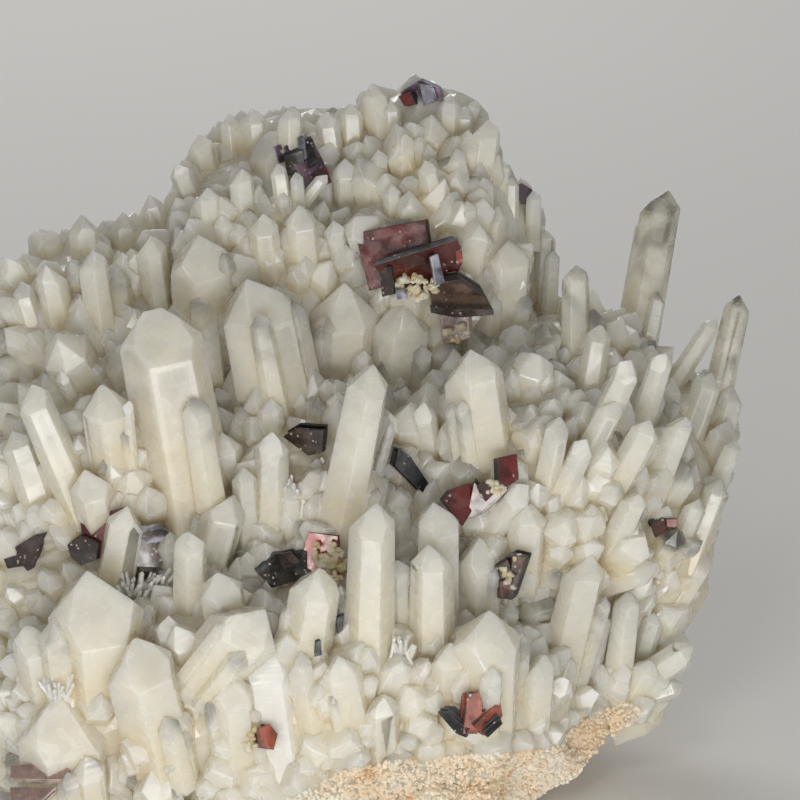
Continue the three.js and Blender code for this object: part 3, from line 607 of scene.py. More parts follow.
# Huebnerite: the outline of a plate's front face, how far it stands in front of the massive quartz, how far
# it turns about the upward and the right-hand axis, its thickness, layers and tone, and its depth where given
HUEBNERITE = {
    "huebnerite_main": [
        Plate([(355, 233), (425, 220), (432, 272), (369, 291)], 4.4, -14, 8, 3),
        Plate([(374, 266), (458, 239), (463, 262), (452, 286), (392, 294)], 5.5, 12, 34, 2.4, tone="deep"),
        Plate(
            [(430, 284), (458, 280), (486, 298), (494, 313), (455, 317), (432, 312)],
            5, 6, 42, 2.8, tone="umber",
        ),
        Plate(
            [(430, 306), (456, 309), (493, 309), (494, 315), (456, 318), (431, 313)],
            7.0, 6, 24, 1.0, 2, "brown",
        ),
        Plate([(379, 268), (391, 266), (394, 294), (382, 297)], 8.2, -20, 6, 1.6, 2, "brown"),
        Plate([(431, 257), (438, 254), (445, 282), (436, 286)], 8.6, 20, 0, 1.2, 2, "silver"),
        Plate([(395, 290), (407, 289), (406, 299), (397, 300)], 8.2, -10, 0, 1.4, 2, "silver"),
        Plate([(455, 240), (462, 247), (463, 262), (457, 266)], 6.9, 24, 20, 1.0, 2, "bright"),
        Plate([(439, 315), (468, 312), (470, 338), (443, 344)], 4.2, -14, 10, 2.4, 2, "pink"),
    ],
    "huebnerite_upper_left": [
        Plate([(258, 150), (290, 143), (300, 174), (270, 180)], 4.2, -20, 12, 2.6, tone="purple"),
        Plate(
            [(284, 147), (297, 137), (311, 136), (332, 178), (330, 186), (311, 194)],
            5, 14, -8, 3, tone="purple",
        ),
        Plate([(297, 138), (304, 134), (307, 158), (300, 162)], 6.8, -16, 10, 1.4, 2, "silver"),
        Plate([(284, 156), (303, 150), (306, 172), (288, 176)], 6.0, 8, 24, 1.6, 3, "black"),
        Plate([(260, 151), (274, 147), (280, 172), (269, 176)], 5.4, -34, 4, 1.6, 2, "red"),
        Plate([(316, 170), (326, 166), (332, 182), (320, 186)], 6.4, 22, -12, 1.4, 2, "red"),
        Plate([(274, 146), (284, 143), (289, 160), (279, 164)], 6.2, 24, -6, 1.4, 3, "purple"),
        Plate([(304, 140), (311, 138), (318, 160), (309, 166)], 7.0, -24, -6, 1.2, 3, "black"),
    ],
    "huebnerite_top": [
        Plate(
            [(400, 92), (420, 80), (438, 88), (445, 104), (424, 112), (404, 105)],
            None, -10, 10, 3.4, tone="purple", depth=-20,
        ),
        Plate([(398, 96), (410, 92), (416, 104), (404, 106)], None, -24, 6, 2.0, 2, "red", depth=-18.6),
        Plate([(420, 86), (434, 88), (438, 100), (424, 106)], None, 16, 20, 2.0, 3, "silver", depth=-18.4),
    ],
    "huebnerite_right_tip": [
        Plate(
            [(508, 188), (522, 183), (533, 190), (530, 204), (512, 205)],
            None, 10, 0, 1.6, tone="purple", depth=-22.8,
        ),
    ],
    "huebnerite_centre_right": [
        Plate(
            [(474, 482), (479, 487), (497, 481), (508, 487), (500, 496), (480, 514), (466, 520)],
            6, -4, 12, 2.4, tone="umber",
        ),
        Plate([(442, 500), (450, 490), (474, 482), (480, 492), (474, 508), (463, 526)], 6.6, 16, -2, 2, 3),
        Plate([(498, 458), (517, 454), (519, 479), (508, 487), (499, 483)], 6.8, 24, -2, 1.8, 2),
        Plate([(480, 488), (490, 484), (494, 494), (486, 502)], 7.4, 24, 20, 1.2, 2, "deep"),
    ],
    "huebnerite_behind_tall": [
        Plate(
            [(283, 437), (296, 429), (324, 431), (322, 453), (308, 456)],
            5.4, -16, 24, 2.4, tone="brown",
        ),
    ],
    "huebnerite_dark_blade": [
        Plate([(400, 449), (411, 457), (436, 494), (432, 502), (396, 466)], 5.4, 24, 10, 2.4, tone="black"),
    ],
    "huebnerite_lower_left": [
        Plate([(80, 520), (122, 508), (128, 556), (84, 560)], 4.5, -14, 6, 2.8),
        Plate([(120, 536), (162, 530), (170, 552), (160, 568), (122, 566)], 4.8, 16, 10, 2.6, tone="brown"),
        Plate(
            [(67, 545), (80, 536), (98, 544), (96, 560), (80, 566), (70, 556)],
            6.0, -20, 20, 2.0, tone="brown",
        ),
        Plate([(140, 532), (162, 528), (170, 532), (160, 542), (146, 544)], 6.2, 20, 36, 1.2, 2, "silver"),
    ],
    "huebnerite_left_edge": [
        Plate(
            [(2, 555), (35, 535), (44, 534), (33, 568), (12, 581)],
            None, -18, 10, 2.6, tone="brown", depth=3.5,
        ),
    ],
    "huebnerite_lower_centre": [
        Plate([(308, 532), (338, 536), (336, 590), (300, 563)], 6.6, -12, 8, 2.6, tone="bright"),
        Plate([(256, 572), (275, 554), (306, 552), (308, 578), (272, 588)], 7, 14, 16, 2.6, tone="black"),
        Plate([(276, 556), (290, 552), (300, 562), (284, 570)], 8.4, -14, 24, 1.4, 3, "brown"),
        Plate([(336, 618), (344, 614), (343, 630), (338, 634)], 5.4, 10, 0, 1.6, 3, "black"),
        Plate([(316, 642), (321, 640), (322, 655), (315, 657)], 7.4, 10, 0, 1.2, 2, "black"),
    ],
    "huebnerite_front_centre": [
        Plate([(495, 566), (512, 552), (527, 556), (512, 600), (497, 598)], 7, -20, 8, 2.4, tone="brown"),
        Plate([(498, 566), (508, 560), (512, 572), (501, 580)], 8.4, 22, 20, 1.2, 2, "umber"),
        Plate([(512, 555), (526, 557), (520, 576), (511, 570)], 8.6, -24, 12, 1.2, 2, "umber"),
        Plate([(499, 582), (512, 576), (510, 592), (501, 599)], 8.6, 16, 4, 1.2, 2),
    ],
    "huebnerite_bottom_right": [
        Plate([(437, 712), (447, 712), (468, 730), (466, 738), (456, 734)], 8, -30, 20, 2.4, tone="black"),
        Plate([(468, 694), (479, 692), (483, 706), (478, 734), (463, 734)], 8.5, 18, 6, 2.4, tone="orange"),
        Plate([(474, 726), (500, 700), (503, 716), (488, 738)], 9, 30, 14, 2.4, tone="orange"),
        Plate([(484, 732), (500, 718), (503, 724), (488, 738)], 10.4, 20, 30, 1.4, 2, "black"),
    ],
    "huebnerite_right_flank": [
        Plate([(652, 526), (663, 518), (672, 520), (668, 530), (656, 538)], 4.5, 20, 14, 2.4, tone="deep"),
        Plate([(666, 519), (678, 519), (677, 528), (667, 527)], 5.4, 10, 10, 1.6, 2, "bright"),
    ],
    "huebnerite_orange": [
        Plate(
            [(259, 728), (270, 724), (278, 734), (274, 750), (262, 748)],
            5.0, 24, -4, 2.8, tone="orange",
        ),
    ],
    "huebnerite_bottom_left": [
        Plate(
            [(10, 765), (64, 763), (72, 772), (64, 780), (10, 779)],
            None, -10, -30, 2.4, tone="pink", depth=14,
        ),
        Plate([(10, 787), (56, 787), (42, 800), (10, 806)], None, -10, -30, 2.0, tone="pink", depth=15),
    ],
}

# Clumps of cream grains: the corners of the patch that they fill, how far they stand proud, and their number
GRAINS = {
    "cream_grains_main": [
        Grains([(391, 284), (405, 272), (434, 282), (438, 298), (418, 300), (398, 292)], 7.6, 40),
        Grains([(444, 330), (470, 322), (470, 340), (450, 346)], 6.2, 12),
        Grains([(480, 484), (508, 478), (504, 492), (484, 502)], 8.2, 9),
    ],
    "cream_grains_lower_centre": [
        Grains([(312, 546), (336, 542), (346, 560), (338, 588), (318, 566)], 8.6, 60),
        Grains([(240, 728), (256, 726), (260, 750), (244, 752)], 4.6, 18),
        Grains([(500, 562), (522, 558), (512, 592), (502, 594)], 9.2, 12),
    ],
}

SHOWN_CRYSTALS = TOP_RIDGE + RIGHT_SIDE + UPPER_WALL + CENTRE_LEFT + CENTRE + FRONT


def chance(first, second):
    """A repeatable number from 0 to 1 for a pair of counters."""
    wave = math.sin(first * FIRST_STRIDE + second * SECOND_STRIDE) * CHANCE_SCALE
    return wave - math.floor(wave)


def placed(place, depth):
    """The point that shows at a place of the photograph, at a depth towards the viewer."""
    scale = MM_PER_PIXEL * (1 - depth / VIEW_DISTANCE)
    across = RIGHT * (place[0] - PHOTO_CENTRE) * scale
    up = UPWARD * (PHOTO_CENTRE - place[1]) * scale
    return TARGET + across + up + TOWARD * depth


def shown_at(point):
    """The place of the photograph at which a point shows, and its depth."""
    from_target = point - TARGET
    depth = from_target @ TOWARD
    scale = MM_PER_PIXEL * (1 - depth / VIEW_DISTANCE)
    return PHOTO_CENTRE + from_target @ RIGHT / scale, PHOTO_CENTRE - from_target @ UPWARD / scale, depth


quartz_lumps = [
    Lump(placed(at, depth), PICTURE_AXES, np.array(size, float)) for at, depth, size in QUARTZ_LUMPS
]


def far_crossings(lump, start, ways):
    """How far along each way from a start its line leaves the lump, or minus infinity where it misses."""
    place = lump.axes @ (start - lump.centre) / lump.size
    grades = ways @ lump.axes.T / lump.size
    square = (grades**2).sum(1)
    slope = 2 * grades @ place
    inside = slope**2 - 4 * square * (place @ place - 1)
    reach = (np.sqrt(np.maximum(inside, 0)) - slope) / (2 * square)
    return np.where(inside > 0, reach, -np.inf)


def front_depth(place):
    """The depth at which the sight line through a place first meets the massive quartz, or None."""
    near = placed(place, 0)
    sight = placed(place, 1) - near
    depth = max(far_crossings(lump, near, sight[None])[0] for lump in quartz_lumps)
    return None if depth == -np.inf else depth


def nearest_depth(place):
    """The depth of the massive quartz at the nearest root of a large crystal, where a place misses it."""
    roots = [crystal.root for crystal in SHOWN_CRYSTALS if front_depth(crystal.root) is not None]
    return front_depth(min(roots, key=lambda root: math.dist(root, place))) - ROOT_BACKSTEP


TRIPLES = np.array(list(combinations(range(CRYSTAL_PLANES), 3)))


def corners_of(normals, offsets):
    """The corners of a convex body given by the planes that bound it."""
    matrices = normals[TRIPLES]
    sound = np.abs(np.linalg.det(matrices)) > PLANE_TOLERANCE
    points = np.linalg.solve(matrices[sound], offsets[TRIPLES[sound]][..., None])[..., 0]
    points = points[(points @ normals.T <= offsets + PLANE_TOLERANCE).all(1)]
    kept = []
    for point in points:
        if all(np.abs(point - other).max() > CORNER_TOLERANCE for other in kept):
            kept.append(point)
    return np.array(kept)


def crystal_form(length, width, sink, key, spread=END_FACE_SPREAD, lead=0.0):
    """The corners and faces of a six-sided prism with six unequal end faces, its root at the origin."""
    half = width / 2
    normals, offsets = [np.array([0.0, 0.0, -1.0])], [sink]
    for k in range(6):
        turn = k * math.pi / 3
        outward = np.array([math.cos(turn), math.sin(turn), 0.0])
        normals.append(outward * math.cos(PRISM_TAPER) + np.array([0, 0, math.sin(PRISM_TAPER)]))
        offsets.append(half * (1 - PRISM_FACE_SPREAD * chance(key, k)))
        setback = MINOR_FACE_SETBACK * (k % 2) + spread * chance(key, k + END_FACE_DRAW) + lead * (k > 0)
        normals.append(outward * math.cos(END_FACE_RISE) + np.array([0, 0, math.sin(END_FACE_RISE)]))
        offsets.append(length * math.sin(END_FACE_RISE) + half * setback)
    normals, offsets = np.array(normals), np.array(offsets)
    rise = corners_of(normals, offsets)[:, 2].max() - length
    offsets[2::2] -= rise * math.sin(END_FACE_RISE)
    return hull_of(corners_of(normals, offsets))


def mesh_of(bm, name):
    """Turns a bmesh into a mesh."""
    mesh = bpy.data.meshes.new(name)
    bm.to_mesh(mesh)
    bm.free()
    return mesh


def in_scene(name, data):
    """An object in the scene that holds some data."""
    ob = bpy.data.objects.new(name, data)
    bpy.context.scene.collection.objects.link(ob)
    return ob


def hull_of(corners):
    """The convex hull of some corners, with its flat faces whole."""
    bm = bmesh.new()
    for corner in corners:
        bm.verts.new(corner)
    bmesh.ops.convex_hull(bm, input=bm.verts)
    bmesh.ops.dissolve_limit(bm, angle_limit=FLAT_ANGLE, verts=bm.verts, edges=bm.edges)
    bm.verts.index_update()
    form = np.array([v.co for v in bm.verts]), [[v.index for v in face.verts] for face in bm.faces]
    bm.free()
    return form


def small_forms():
    """Crystal ends of unit half width, tip at the origin, whose prisms can be drawn out to any length."""
    forms = []
    for key in range(SMALL_FORMS):
        corners, faces = crystal_form(FORM_LENGTH, 2, 0, FIRST_FORM_KEY + key, FORM_SPREAD)
        low = corners[:, 2] < CORNER_TOLERANCE
        corners[:, 2] -= FORM_LENGTH
        forms.append((corners, faces, low))
    return forms


def drawn_out(form, length, width, sink):
    """A small form at its real width, with its prism drawn out from the tip to below the root."""
    corners, faces, low = form
    points = corners * width / 2
    points[low, 2] = -length - sink
    points[:, 2] += length
    return points, faces


def crystal_frame(along, roll):
    """The axes of a crystal: a face's way to the viewer, turned by the roll, and the growth direction."""
    facing = unit(TOWARD - along * (TOWARD @ along))
    across = np.cross(along, facing)
    roll = math.radians(roll)
    turned = facing * math.cos(roll) + across * math.sin(roll)
    return np.array([turned, np.cross(along, turned), along])


quartz_parts = []
SMALL_CRYSTAL_FORMS = small_forms()


def bevelled(bm, offset):
    """Breaks every edge of a mesh by a small flat."""
    bmesh.ops.bevel(bm, geom=bm.edges, offset=offset * MM, segments=1, affect="EDGES", clamp_overlap=True)


def windowed(mesh, along, width, key, chosen):
    """Parts the middle of some prism faces from their rims, so that the crystal looks clearer there."""
    bm = bmesh.new()
    bm.from_mesh(mesh)
    layer = bm.faces.layers.float.new("window")
    least = WINDOW_LEAST_AREA * (width * MM) ** 2
    prism = [face for face in bm.faces if abs(face.normal @ Vector(along)) < PRISM_LEAN]
    big = [face for face in prism if face.calc_area() > least]
    best = max(big, key=lambda face: face.normal @ Vector(WINDOW_WAY), default=None)
    for number, face in enumerate(big):
        clear_one = chosen and face == best
        if chance(key, number + WINDOW_DRAW) > WINDOW_SHARE and not clear_one:
            continue
        rim, clearness = WINDOW_RIM, WINDOW_CLEARNESS
        if not clear_one:
            rim = HAZE_RIM[0] + HAZE_RIM[1] * chance(key, number + RIM_DRAW)
            clearness = HAZE_CLEARNESS[0] + HAZE_CLEARNESS[1] * chance(key, number + CLEARNESS_DRAW)
        bmesh.ops.inset_individual(bm, faces=[face], thickness=width * MM * rim, depth=0)
        face[layer] = clearness
    bm.to_mesh(mesh)
    bm.free()


def glint_lean(crystal, depth):
    """The lean at which an end face of a crystal throws the main light at the viewer."""
    def miss(lean):
        root, tip = leaning(crystal, depth, lean)
        return abs(unit(tip - root) @ glint_way(tip) - math.sin(END_FACE_RISE))

    return min(LEANS_TRIED, key=miss)


def glint_way(point):
    """The way that a face at a point has to look to throw the main light at the viewer."""
    return unit(unit(MAIN_LIGHT_PLACE - point) + unit(CAMERA_PLACE - point))


def glint_roll(along, point):
    """The roll that turns a crystal's first prism face, and the end face over it, towards the glint's way."""
    facing, across, _ = crystal_frame(along, 0)
    way = glint_way(point)
    return math.degrees(math.atan2(way @ across, way @ facing))


def leaning(crystal, depth, lean):
    root = placed(crystal.root, depth)
    in_plane = np.linalg.norm(placed(crystal.tip, depth) - root)
    return root, placed(crystal.tip, depth + in_plane * math.tan(math.radians(lean)))


def add_crystal(
    root, tip, width, roll, key, clear, sink=CRYSTAL_SINK, bevel=0, small=False, shows="", satin=0.0
):
    """Makes one closed crystal, which the quartz cluster joins later."""
    length = np.linalg.norm(tip - root)
    along = (tip - root) / length
    if small:
        corners, faces = drawn_out(SMALL_CRYSTAL_FORMS[key % SMALL_FORMS], length, width, sink)
    else:
        lead = GLINT_LEAD if shows == "glint" else 0
        corners, faces = crystal_form(length, width, sink, key, lead=lead)
    points = (root + corners @ crystal_frame(along, roll)) * MM
    mesh = bpy.data.meshes.new(f"crystal_{len(quartz_parts)}")
    mesh.from_pydata(points.tolist(), [], faces)
    if bevel:
        bm = bmesh.new()
        bm.from_mesh(mesh)
        bevelled(bm, bevel)
        bm.to_mesh(mesh)
        bm.free()
    if width > WINDOW_LEAST_WIDTH and not small:
        windowed(mesh, along, width, key, shows == "window")
    mark(mesh, grow_axis=along, grow_root=root * MM, grow_span=length * MM, clearness=clear, satin=satin)
    ob = bpy.data.objects.new(mesh.name, mesh)
    quartz_parts.append(ob)
    return ob


def mark(mesh, **notes):
    """Notes on every face what the materials read there: one value for all faces, or one for each."""
    count = len(mesh.polygons)
    for name, value in notes.items():
        value = np.asarray(value, np.float32)
        vector = value.shape[-1:] == (3,)
        layer = mesh.attributes.new(name, "FLOAT_VECTOR" if vector else "FLOAT", "FACE")
        whole = np.broadcast_to(value, (count, 3) if vector else (count,))
        layer.data.foreach_set("vector" if vector else "value", whole.ravel())


def shown_ends(crystal):
    """The root and the tip of a crystal that the photograph shows, and its roll."""
    depth = crystal.depth if crystal.depth is not None else front_depth(crystal.root)
    if depth is None:
        depth = nearest_depth(crystal.root)
    depth += crystal.proud
    lean = glint_lean(crystal, depth) if crystal.shows == "glint" else crystal.lean
    root, tip = leaning(crystal, depth, lean)
    roll = glint_roll(unit(tip - root), tip) if crystal.shows in ("glint", "satin") else crystal.roll
    return root, tip, roll


def skin_mesh():
    """One rough closed skin round the lumps of massive quartz, as seen from a place inside them."""
    bm = bmesh.new()
    bmesh.ops.create_icosphere(bm, subdivisions=SKIN_DETAIL, radius=1)
    core = placed(*QUARTZ_CORE)
    ways = np.array([v.co for v in bm.verts])
    ways /= np.linalg.norm(ways, axis=1)[:, None]
    reach = np.max([far_crossings(lump, core, ways) for lump in quartz_lumps], axis=0)
    for vert, way, far in zip(bm.verts, ways, reach):
        point = core + way * far
        rough = noise.fractal(Vector(point * SKIN_NOISE), *FRACTAL) * SKIN_ROUGHNESS
        chunks = noise.voronoi(Vector(point * SKIN_CELLS))[0]
        vert.co = (point + way * (SKIN_GROWTH + rough + (chunks[1] - chunks[0]))) * MM
    return mesh_of(bm, "massive_quartz")


def in_cad_box(point):
    low, high = np.array(CAD_BOX[0]) / MM, np.array(CAD_BOX[1]) / MM
    return (point > low + BOX_MARGIN).all() and (point < high - BOX_MARGIN).all()


def search_tree(objects):
    """A search tree over the faces of some objects, and the object that each face belongs to."""
    corners, faces, owners = [], [], []
    for number, ob in enumerate(objects):
        start = len(corners)
        corners += [v.co / MM for v in ob.data.vertices]
        faces += [[start + k for k in polygon.vertices] for polygon in ob.data.polygons]
        owners += [number] * len(ob.data.polygons)
    return BVHTree.FromPolygons(corners, faces), owners


def inside(place, outline):
    """Whether a place of the photograph lies inside an outline."""
    x, y = place
    odd = False
    for (x0, y0), (x1, y1) in zip(outline, outline[1:] + outline[:1]):
        if (y0 > y) != (y1 > y) and x < x0 + (x1 - x0) * (y - y0) / (y1 - y0):
            odd = not odd
    return odd


def sight_depth(tree, point):
    """How far a point stands in front of a tree's first surface, and the face and place that are hit."""
    way = Vector(point - CAMERA_PLACE)
    distance = way.length
    hit = tree.ray_cast(Vector(CAMERA_PLACE), way.normalized())
    if hit[0] is None:
        return -math.inf, None, None
    return hit[3] - distance, hit[2], hit[0]


class Cluster:
    """The crystals placed so far, and the rules for adding small ones between them."""

    def __init__(self, main, plates):
        self.main = main
        self.tree, self.owners = search_tree([ob for ob, *_ in main])
        self.plates = plates
        self.crowding = 0
        self.main_roots = np.array([root for _, root, _, _ in main])
        self.spans = np.array([tip - root for _, root, tip, _ in main])
        self.main_widths = np.array([width for *_, width in main])
        self.roots = np.zeros((0, 3))
        self.widths = np.zeros(0)

    def crowded(self, root, width):
        if not len(self.roots):
            return False
        gaps = np.linalg.norm(self.roots - root, axis=1)
        return (gaps < self.crowding * (self.widths + width)).any()

    def reserve(self, point):
        """Keeps the place of a fan of needles free."""
        self.roots = np.vstack([self.roots, point])
        self.widths = np.append(self.widths, FAN_ROOM)

    def hides_main(self, point):
        """Whether a point stands in front of the upper part of a large crystal."""
        ahead, face, hit = sight_depth(self.tree, point)
        if ahead <= 0:
            return False
        _, root, tip, _ = self.main[self.owners[face]]
        share = (np.array(hit) - root) @ (tip - root) / ((tip - root) @ (tip - root))
        return share > BARE_SHARE

    def hides_plate(self, point):
        return sight_depth(self.plates, point)[0] > 0

    def within_main(self, point):
        """Whether a point lies inside a large crystal."""
        share = ((point - self.main_roots) * self.spans).sum(1) / (self.spans**2).sum(1)
        nearest = self.main_roots + self.spans * np.clip(share, *INSIDE_SPAN)[:, None]
        return (np.linalg.norm(point - nearest, axis=1) < self.main_widths * INSIDE_WIDTH).any()

    def fits(self, root, tip, width):
        if not in_cad_box(tip) or not in_cad_box(root) or tip[2] < LEAST_TIP_HEIGHT:
            return False
        if self.crowded(root, width) or self.within_main(tip):
            return False
        shown = shown_at(tip)[:2]
        if not inside(shown, OUTLINE) or inside(shown, CRUST):
            return False
        if width < CALM_LEAST_WIDTH and inside(shown, CALM):
            return False
        side = unit(np.cross(tip - root, TOWARD)) * width / 2
        middle = root * (1 - MIDDLE_SHARE) + tip * MIDDLE_SHARE
        if any(self.hides_main(point) for point in (tip, middle, middle + side, middle - side)):
            return False
        probes = [root + (tip - root) * share + side * out for share in PROBE_SHARES for out in PROBE_SIDES]
        return not any(self.hides_plate(point) for point in probes)

    def add(self, root, tip, width, key, clear, **more):
        self.roots = np.vstack([self.roots, root])
        self.widths = np.append(self.widths, width)
        add_crystal(root, tip, width, ROLL_RANGE * chance(key, ROLL_DRAW), key, clear, small=True, **more)


def scatter(cluster, points, normals, widths, slenderness, crowding, tries, bevel, rng, key):
    """Grows small crystals on the massive quartz between the ones that are there."""
    picks = rng.integers(0, len(points), tries)
    cluster.crowding = crowding
    for pick in picks:
        root, normal = points[pick], normals[pick]
        width = rng.uniform(*widths)
        field = unit(root - GROWTH_CENTRE)
        grow = normal * NORMAL_SHARE + field * FIELD_SHARE + UPWARD * UPWARD_SHARE
        way = unit(grow + rng.normal(0, GROWTH_JITTER, 3))
        tip = root + way * width * rng.uniform(*slenderness)
        if not in_cad_box(tip) or not inside(shown_at(tip)[:2], OUTLINE):
            tip = root + way * width * STUB
        if cluster.fits(root, tip, width):
            clear = CLEAR_CLEARNESS if rng.random() < CLEAR_SHARE else rng.uniform(*MILKY_CLEARNESS)
            cluster.add(root, tip, width, key, clear, sink=width * SCATTER_SINK, bevel=bevel)
            key += 1
    return key


def skin_samples(mesh, count, rng):
    """Places spread evenly over a mesh, with the way each one faces."""
    mesh.calc_loop_triangles()
    corners = np.array([v.co for v in mesh.vertices]) / MM
    triangles = np.array([t.vertices for t in mesh.loop_triangles])
    a, b, c = corners[triangles[:, 0]], corners[triangles[:, 1]], corners[triangles[:, 2]]
    cross = np.cross(b - a, c - a)
    area = np.linalg.norm(cross, axis=1)
    pick = rng.choice(len(area), count, p=area / area.sum())
    s, t = rng.random(count), rng.random(count)
    fold = s + t > 1
    s[fold], t[fold] = 1 - s[fold], 1 - t[fold]
    points = a[pick] + (b - a)[pick] * s[:, None] + (c - a)[pick] * t[:, None]
    return points, cross[pick] / area[pick][:, None]


def evaluated_mesh(ob):
    """The mesh that an object's modifiers make."""
    graph = bpy.context.evaluated_depsgraph_get()
    return bpy.data.meshes.new_from_object(ob.evaluated_get(graph))


def joined_mesh(name, base, others, operation="UNION"):
    """One closed mesh made of a base and everything that overlaps it."""
    group = bpy.data.collections.new(name + "_parts")
    for ob in others:
        group.objects.link(ob)
    whole = in_scene(name, base)
    modifier = whole.modifiers.new("join", "BOOLEAN")
    modifier.operation = operation
    modifier.solver = "MANIFOLD"
    modifier.operand_type = "COLLECTION"
    modifier.collection = group
    mesh = evaluated_mesh(whole)
    used = [whole, *group.objects]
    bpy.data.batch_remove([ob.data for ob in used] + used + [group])
    return mesh


def block_below(height):
    """A block that ends at a height, to cut a mesh off flat."""
    bm = bmesh.new()
    middle = Matrix.Translation((0, 0, height * MM - BLOCK_SIZE / 2))
    bmesh.ops.create_cube(bm, size=BLOCK_SIZE, matrix=middle)
    return bpy.data.objects.new("block", mesh_of(bm, "block"))


def piece_of(name, mesh, material, slot, *replaced):
    """One piece of the scene, held within the solids' box, in place of the nodes that it stands for."""
    corners = np.array([v.co for v in mesh.vertices])
    mesh.vertices.foreach_set("co", np.clip(corners, CAD_BOX[0], CAD_BOX[1]).ravel())
    mesh.update()
    mesh.name = name
    mesh.materials.clear()
    mesh.materials.append(material)
    mesh.polygons.foreach_set("material_index", [0] * len(mesh.polygons))
    ob = in_scene(name, mesh)
    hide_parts(*replaced)
    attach(ob, "root")
    return ob


def plate_layers(plate, number):
    """The layers of a tabular crystal: prisms on one plane whose outlines step in and out a little."""
    turned = Matrix.Rotation(math.radians(plate.turn), 3, Vector(UPWARD))
    tilted = Matrix.Rotation(math.radians(plate.tilt), 3, Vector(RIGHT))
    normal = np.array(tilted @ (turned @ Vector(TOWARD)))
    side = unit(np.cross(UPWARD, normal))
    upside = np.cross(normal, side)
    middle = np.mean(plate.outline, axis=0)
    front = plate.depth if plate.depth is not None else front_depth(middle) + plate.proud
    anchor = placed(middle, front)
    flat = []
    for point in plate.outline:
        near = placed(point, front)
        sight = placed(point, front + 1) - near
        near = near + sight * ((anchor - near) @ normal) / (sight @ normal) - anchor
        flat.append((near @ side, near @ upside))
    flat = np.array(flat)
    made = []
    for layer in range(plate.layers):
        top = -plate.thickness * layer / plate.layers
        low = -plate.thickness * (layer + 1) / plate.layers - LAYER_OVERLAP
        shrink = 1 - LAYER_STEP * chance(number, layer + LAYER_SIZE_DRAW) * (layer > 0)
        shift = np.array([chance(number, layer + draw) - 0.5 for draw in LAYER_SHIFT_DRAWS]) * LAYER_SHIFT
        ring = flat * shrink + shift * (1 - shrink) * LAYER_DRIFT
        bm = bmesh.new()
        for height in (top, low):
            verts = [bm.verts.new((anchor + side * x + upside * y + normal * height) * MM) for x, y in ring]
            bm.faces.new(verts if height == top else verts[::-1])
        bm.verts.ensure_lookup_table()
        count = len(ring)
        for k in range(count):
            m = (k + 1) % count
            bm.faces.new([bm.verts[m], bm.verts[k], bm.verts[count + k], bm.verts[count + m]])
        bmesh.ops.recalc_face_normals(bm, faces=bm.faces)
        bevelled(bm, PLATE_BEVEL)
        bmesh.ops.triangulate(bm, faces=bm.faces)
        mesh = mesh_of(bm, f"layer_{number}_{layer}")
        tone = TONES[plate.tone]
        flat_on = np.array([abs(face.normal @ Vector(normal)) > FLAT_ON for face in mesh.polygons])
        tint = np.where(flat_on[:, None], colour(*tone.face)[:3], colour(*tone.edge)[:3])
        mark(mesh, tint=tint, metal=tone.metal, clearness=flat_on * tone.clear, edge=~flat_on)
        made.append(bpy.data.objects.new(mesh.name, mesh))
    return made


def grain_lumps(grains, rng):
    """Rounded grains heaped over a patch."""
    made = []
    corners = np.array(grains.corners, float)
    middle = corners.mean(0)
    for k in range(grains.count):
        first, second = corners[k % len(corners)], corners[(k + 1) % len(corners)]
        at = middle + ((first + (second - first) * rng.random()) - middle) * math.sqrt(rng.random())
        depth = front_depth(at) + grains.proud - GRAIN_SUNK + GRAIN_HEAP * rng.random()
        bm = bmesh.new()
        bmesh.ops.create_icosphere(bm, subdivisions=2, radius=1)
        size = rng.uniform(*GRAIN_SIZE) * rng.uniform(*GRAIN_SHAPE, 3)
        centre = placed(at, depth)
        for vert in bm.verts:
            rough = 1 + GRAIN_ROUGHNESS * noise.noise(vert.co * GRAIN_NOISE + Vector((k * GRAIN_STEP, 0, 0)))
            vert.co = Vector((centre + np.array(vert.co) * size * rough) * MM)
        mesh = mesh_of(bm, f"grain_{k}")
        made.append(bpy.data.objects.new(mesh.name, mesh))
    return made


def rock_mesh():
    """The matrix: the node's own form, broken up into grains, and flat where it rests."""
    whole = in_scene("rock", frame["nodes"]["matrix_rock"].data.copy())
    modifier = whole.modifiers.new("even", "REMESH")
    modifier.mode = "VOXEL"
    modifier.voxel_size = ROCK_VOXEL * MM
    mesh = evaluated_mesh(whole)
    bpy.data.batch_remove([whole.data, whole])
    bm = bmesh.new()
    bm.from_mesh(mesh)
    bmesh.ops.triangulate(bm, faces=bm.faces)
    bm.normal_update()
    moves = []
    for vert in bm.verts:
        point = vert.co / MM
        cells, _ = noise.voronoi(point * ROCK_CELLS)
        lumps = noise.fractal(point * ROCK_NOISE, *FRACTAL)
        grains = cells[1] - cells[0]
        moves.append(vert.normal * (ROCK_ROUGHNESS * lumps + ROCK_GRAIN * grains - ROCK_GRAIN) * MM)
    for vert, move in zip(bm.verts, moves):
        if vert.co.z > ROCK_FOOT * MM:
            vert.co += move
            vert.co.z = max(vert.co.z, ROCK_LEAST_HEIGHT * MM)
    bm.to_mesh(mesh)
    bm.free()
    return mesh


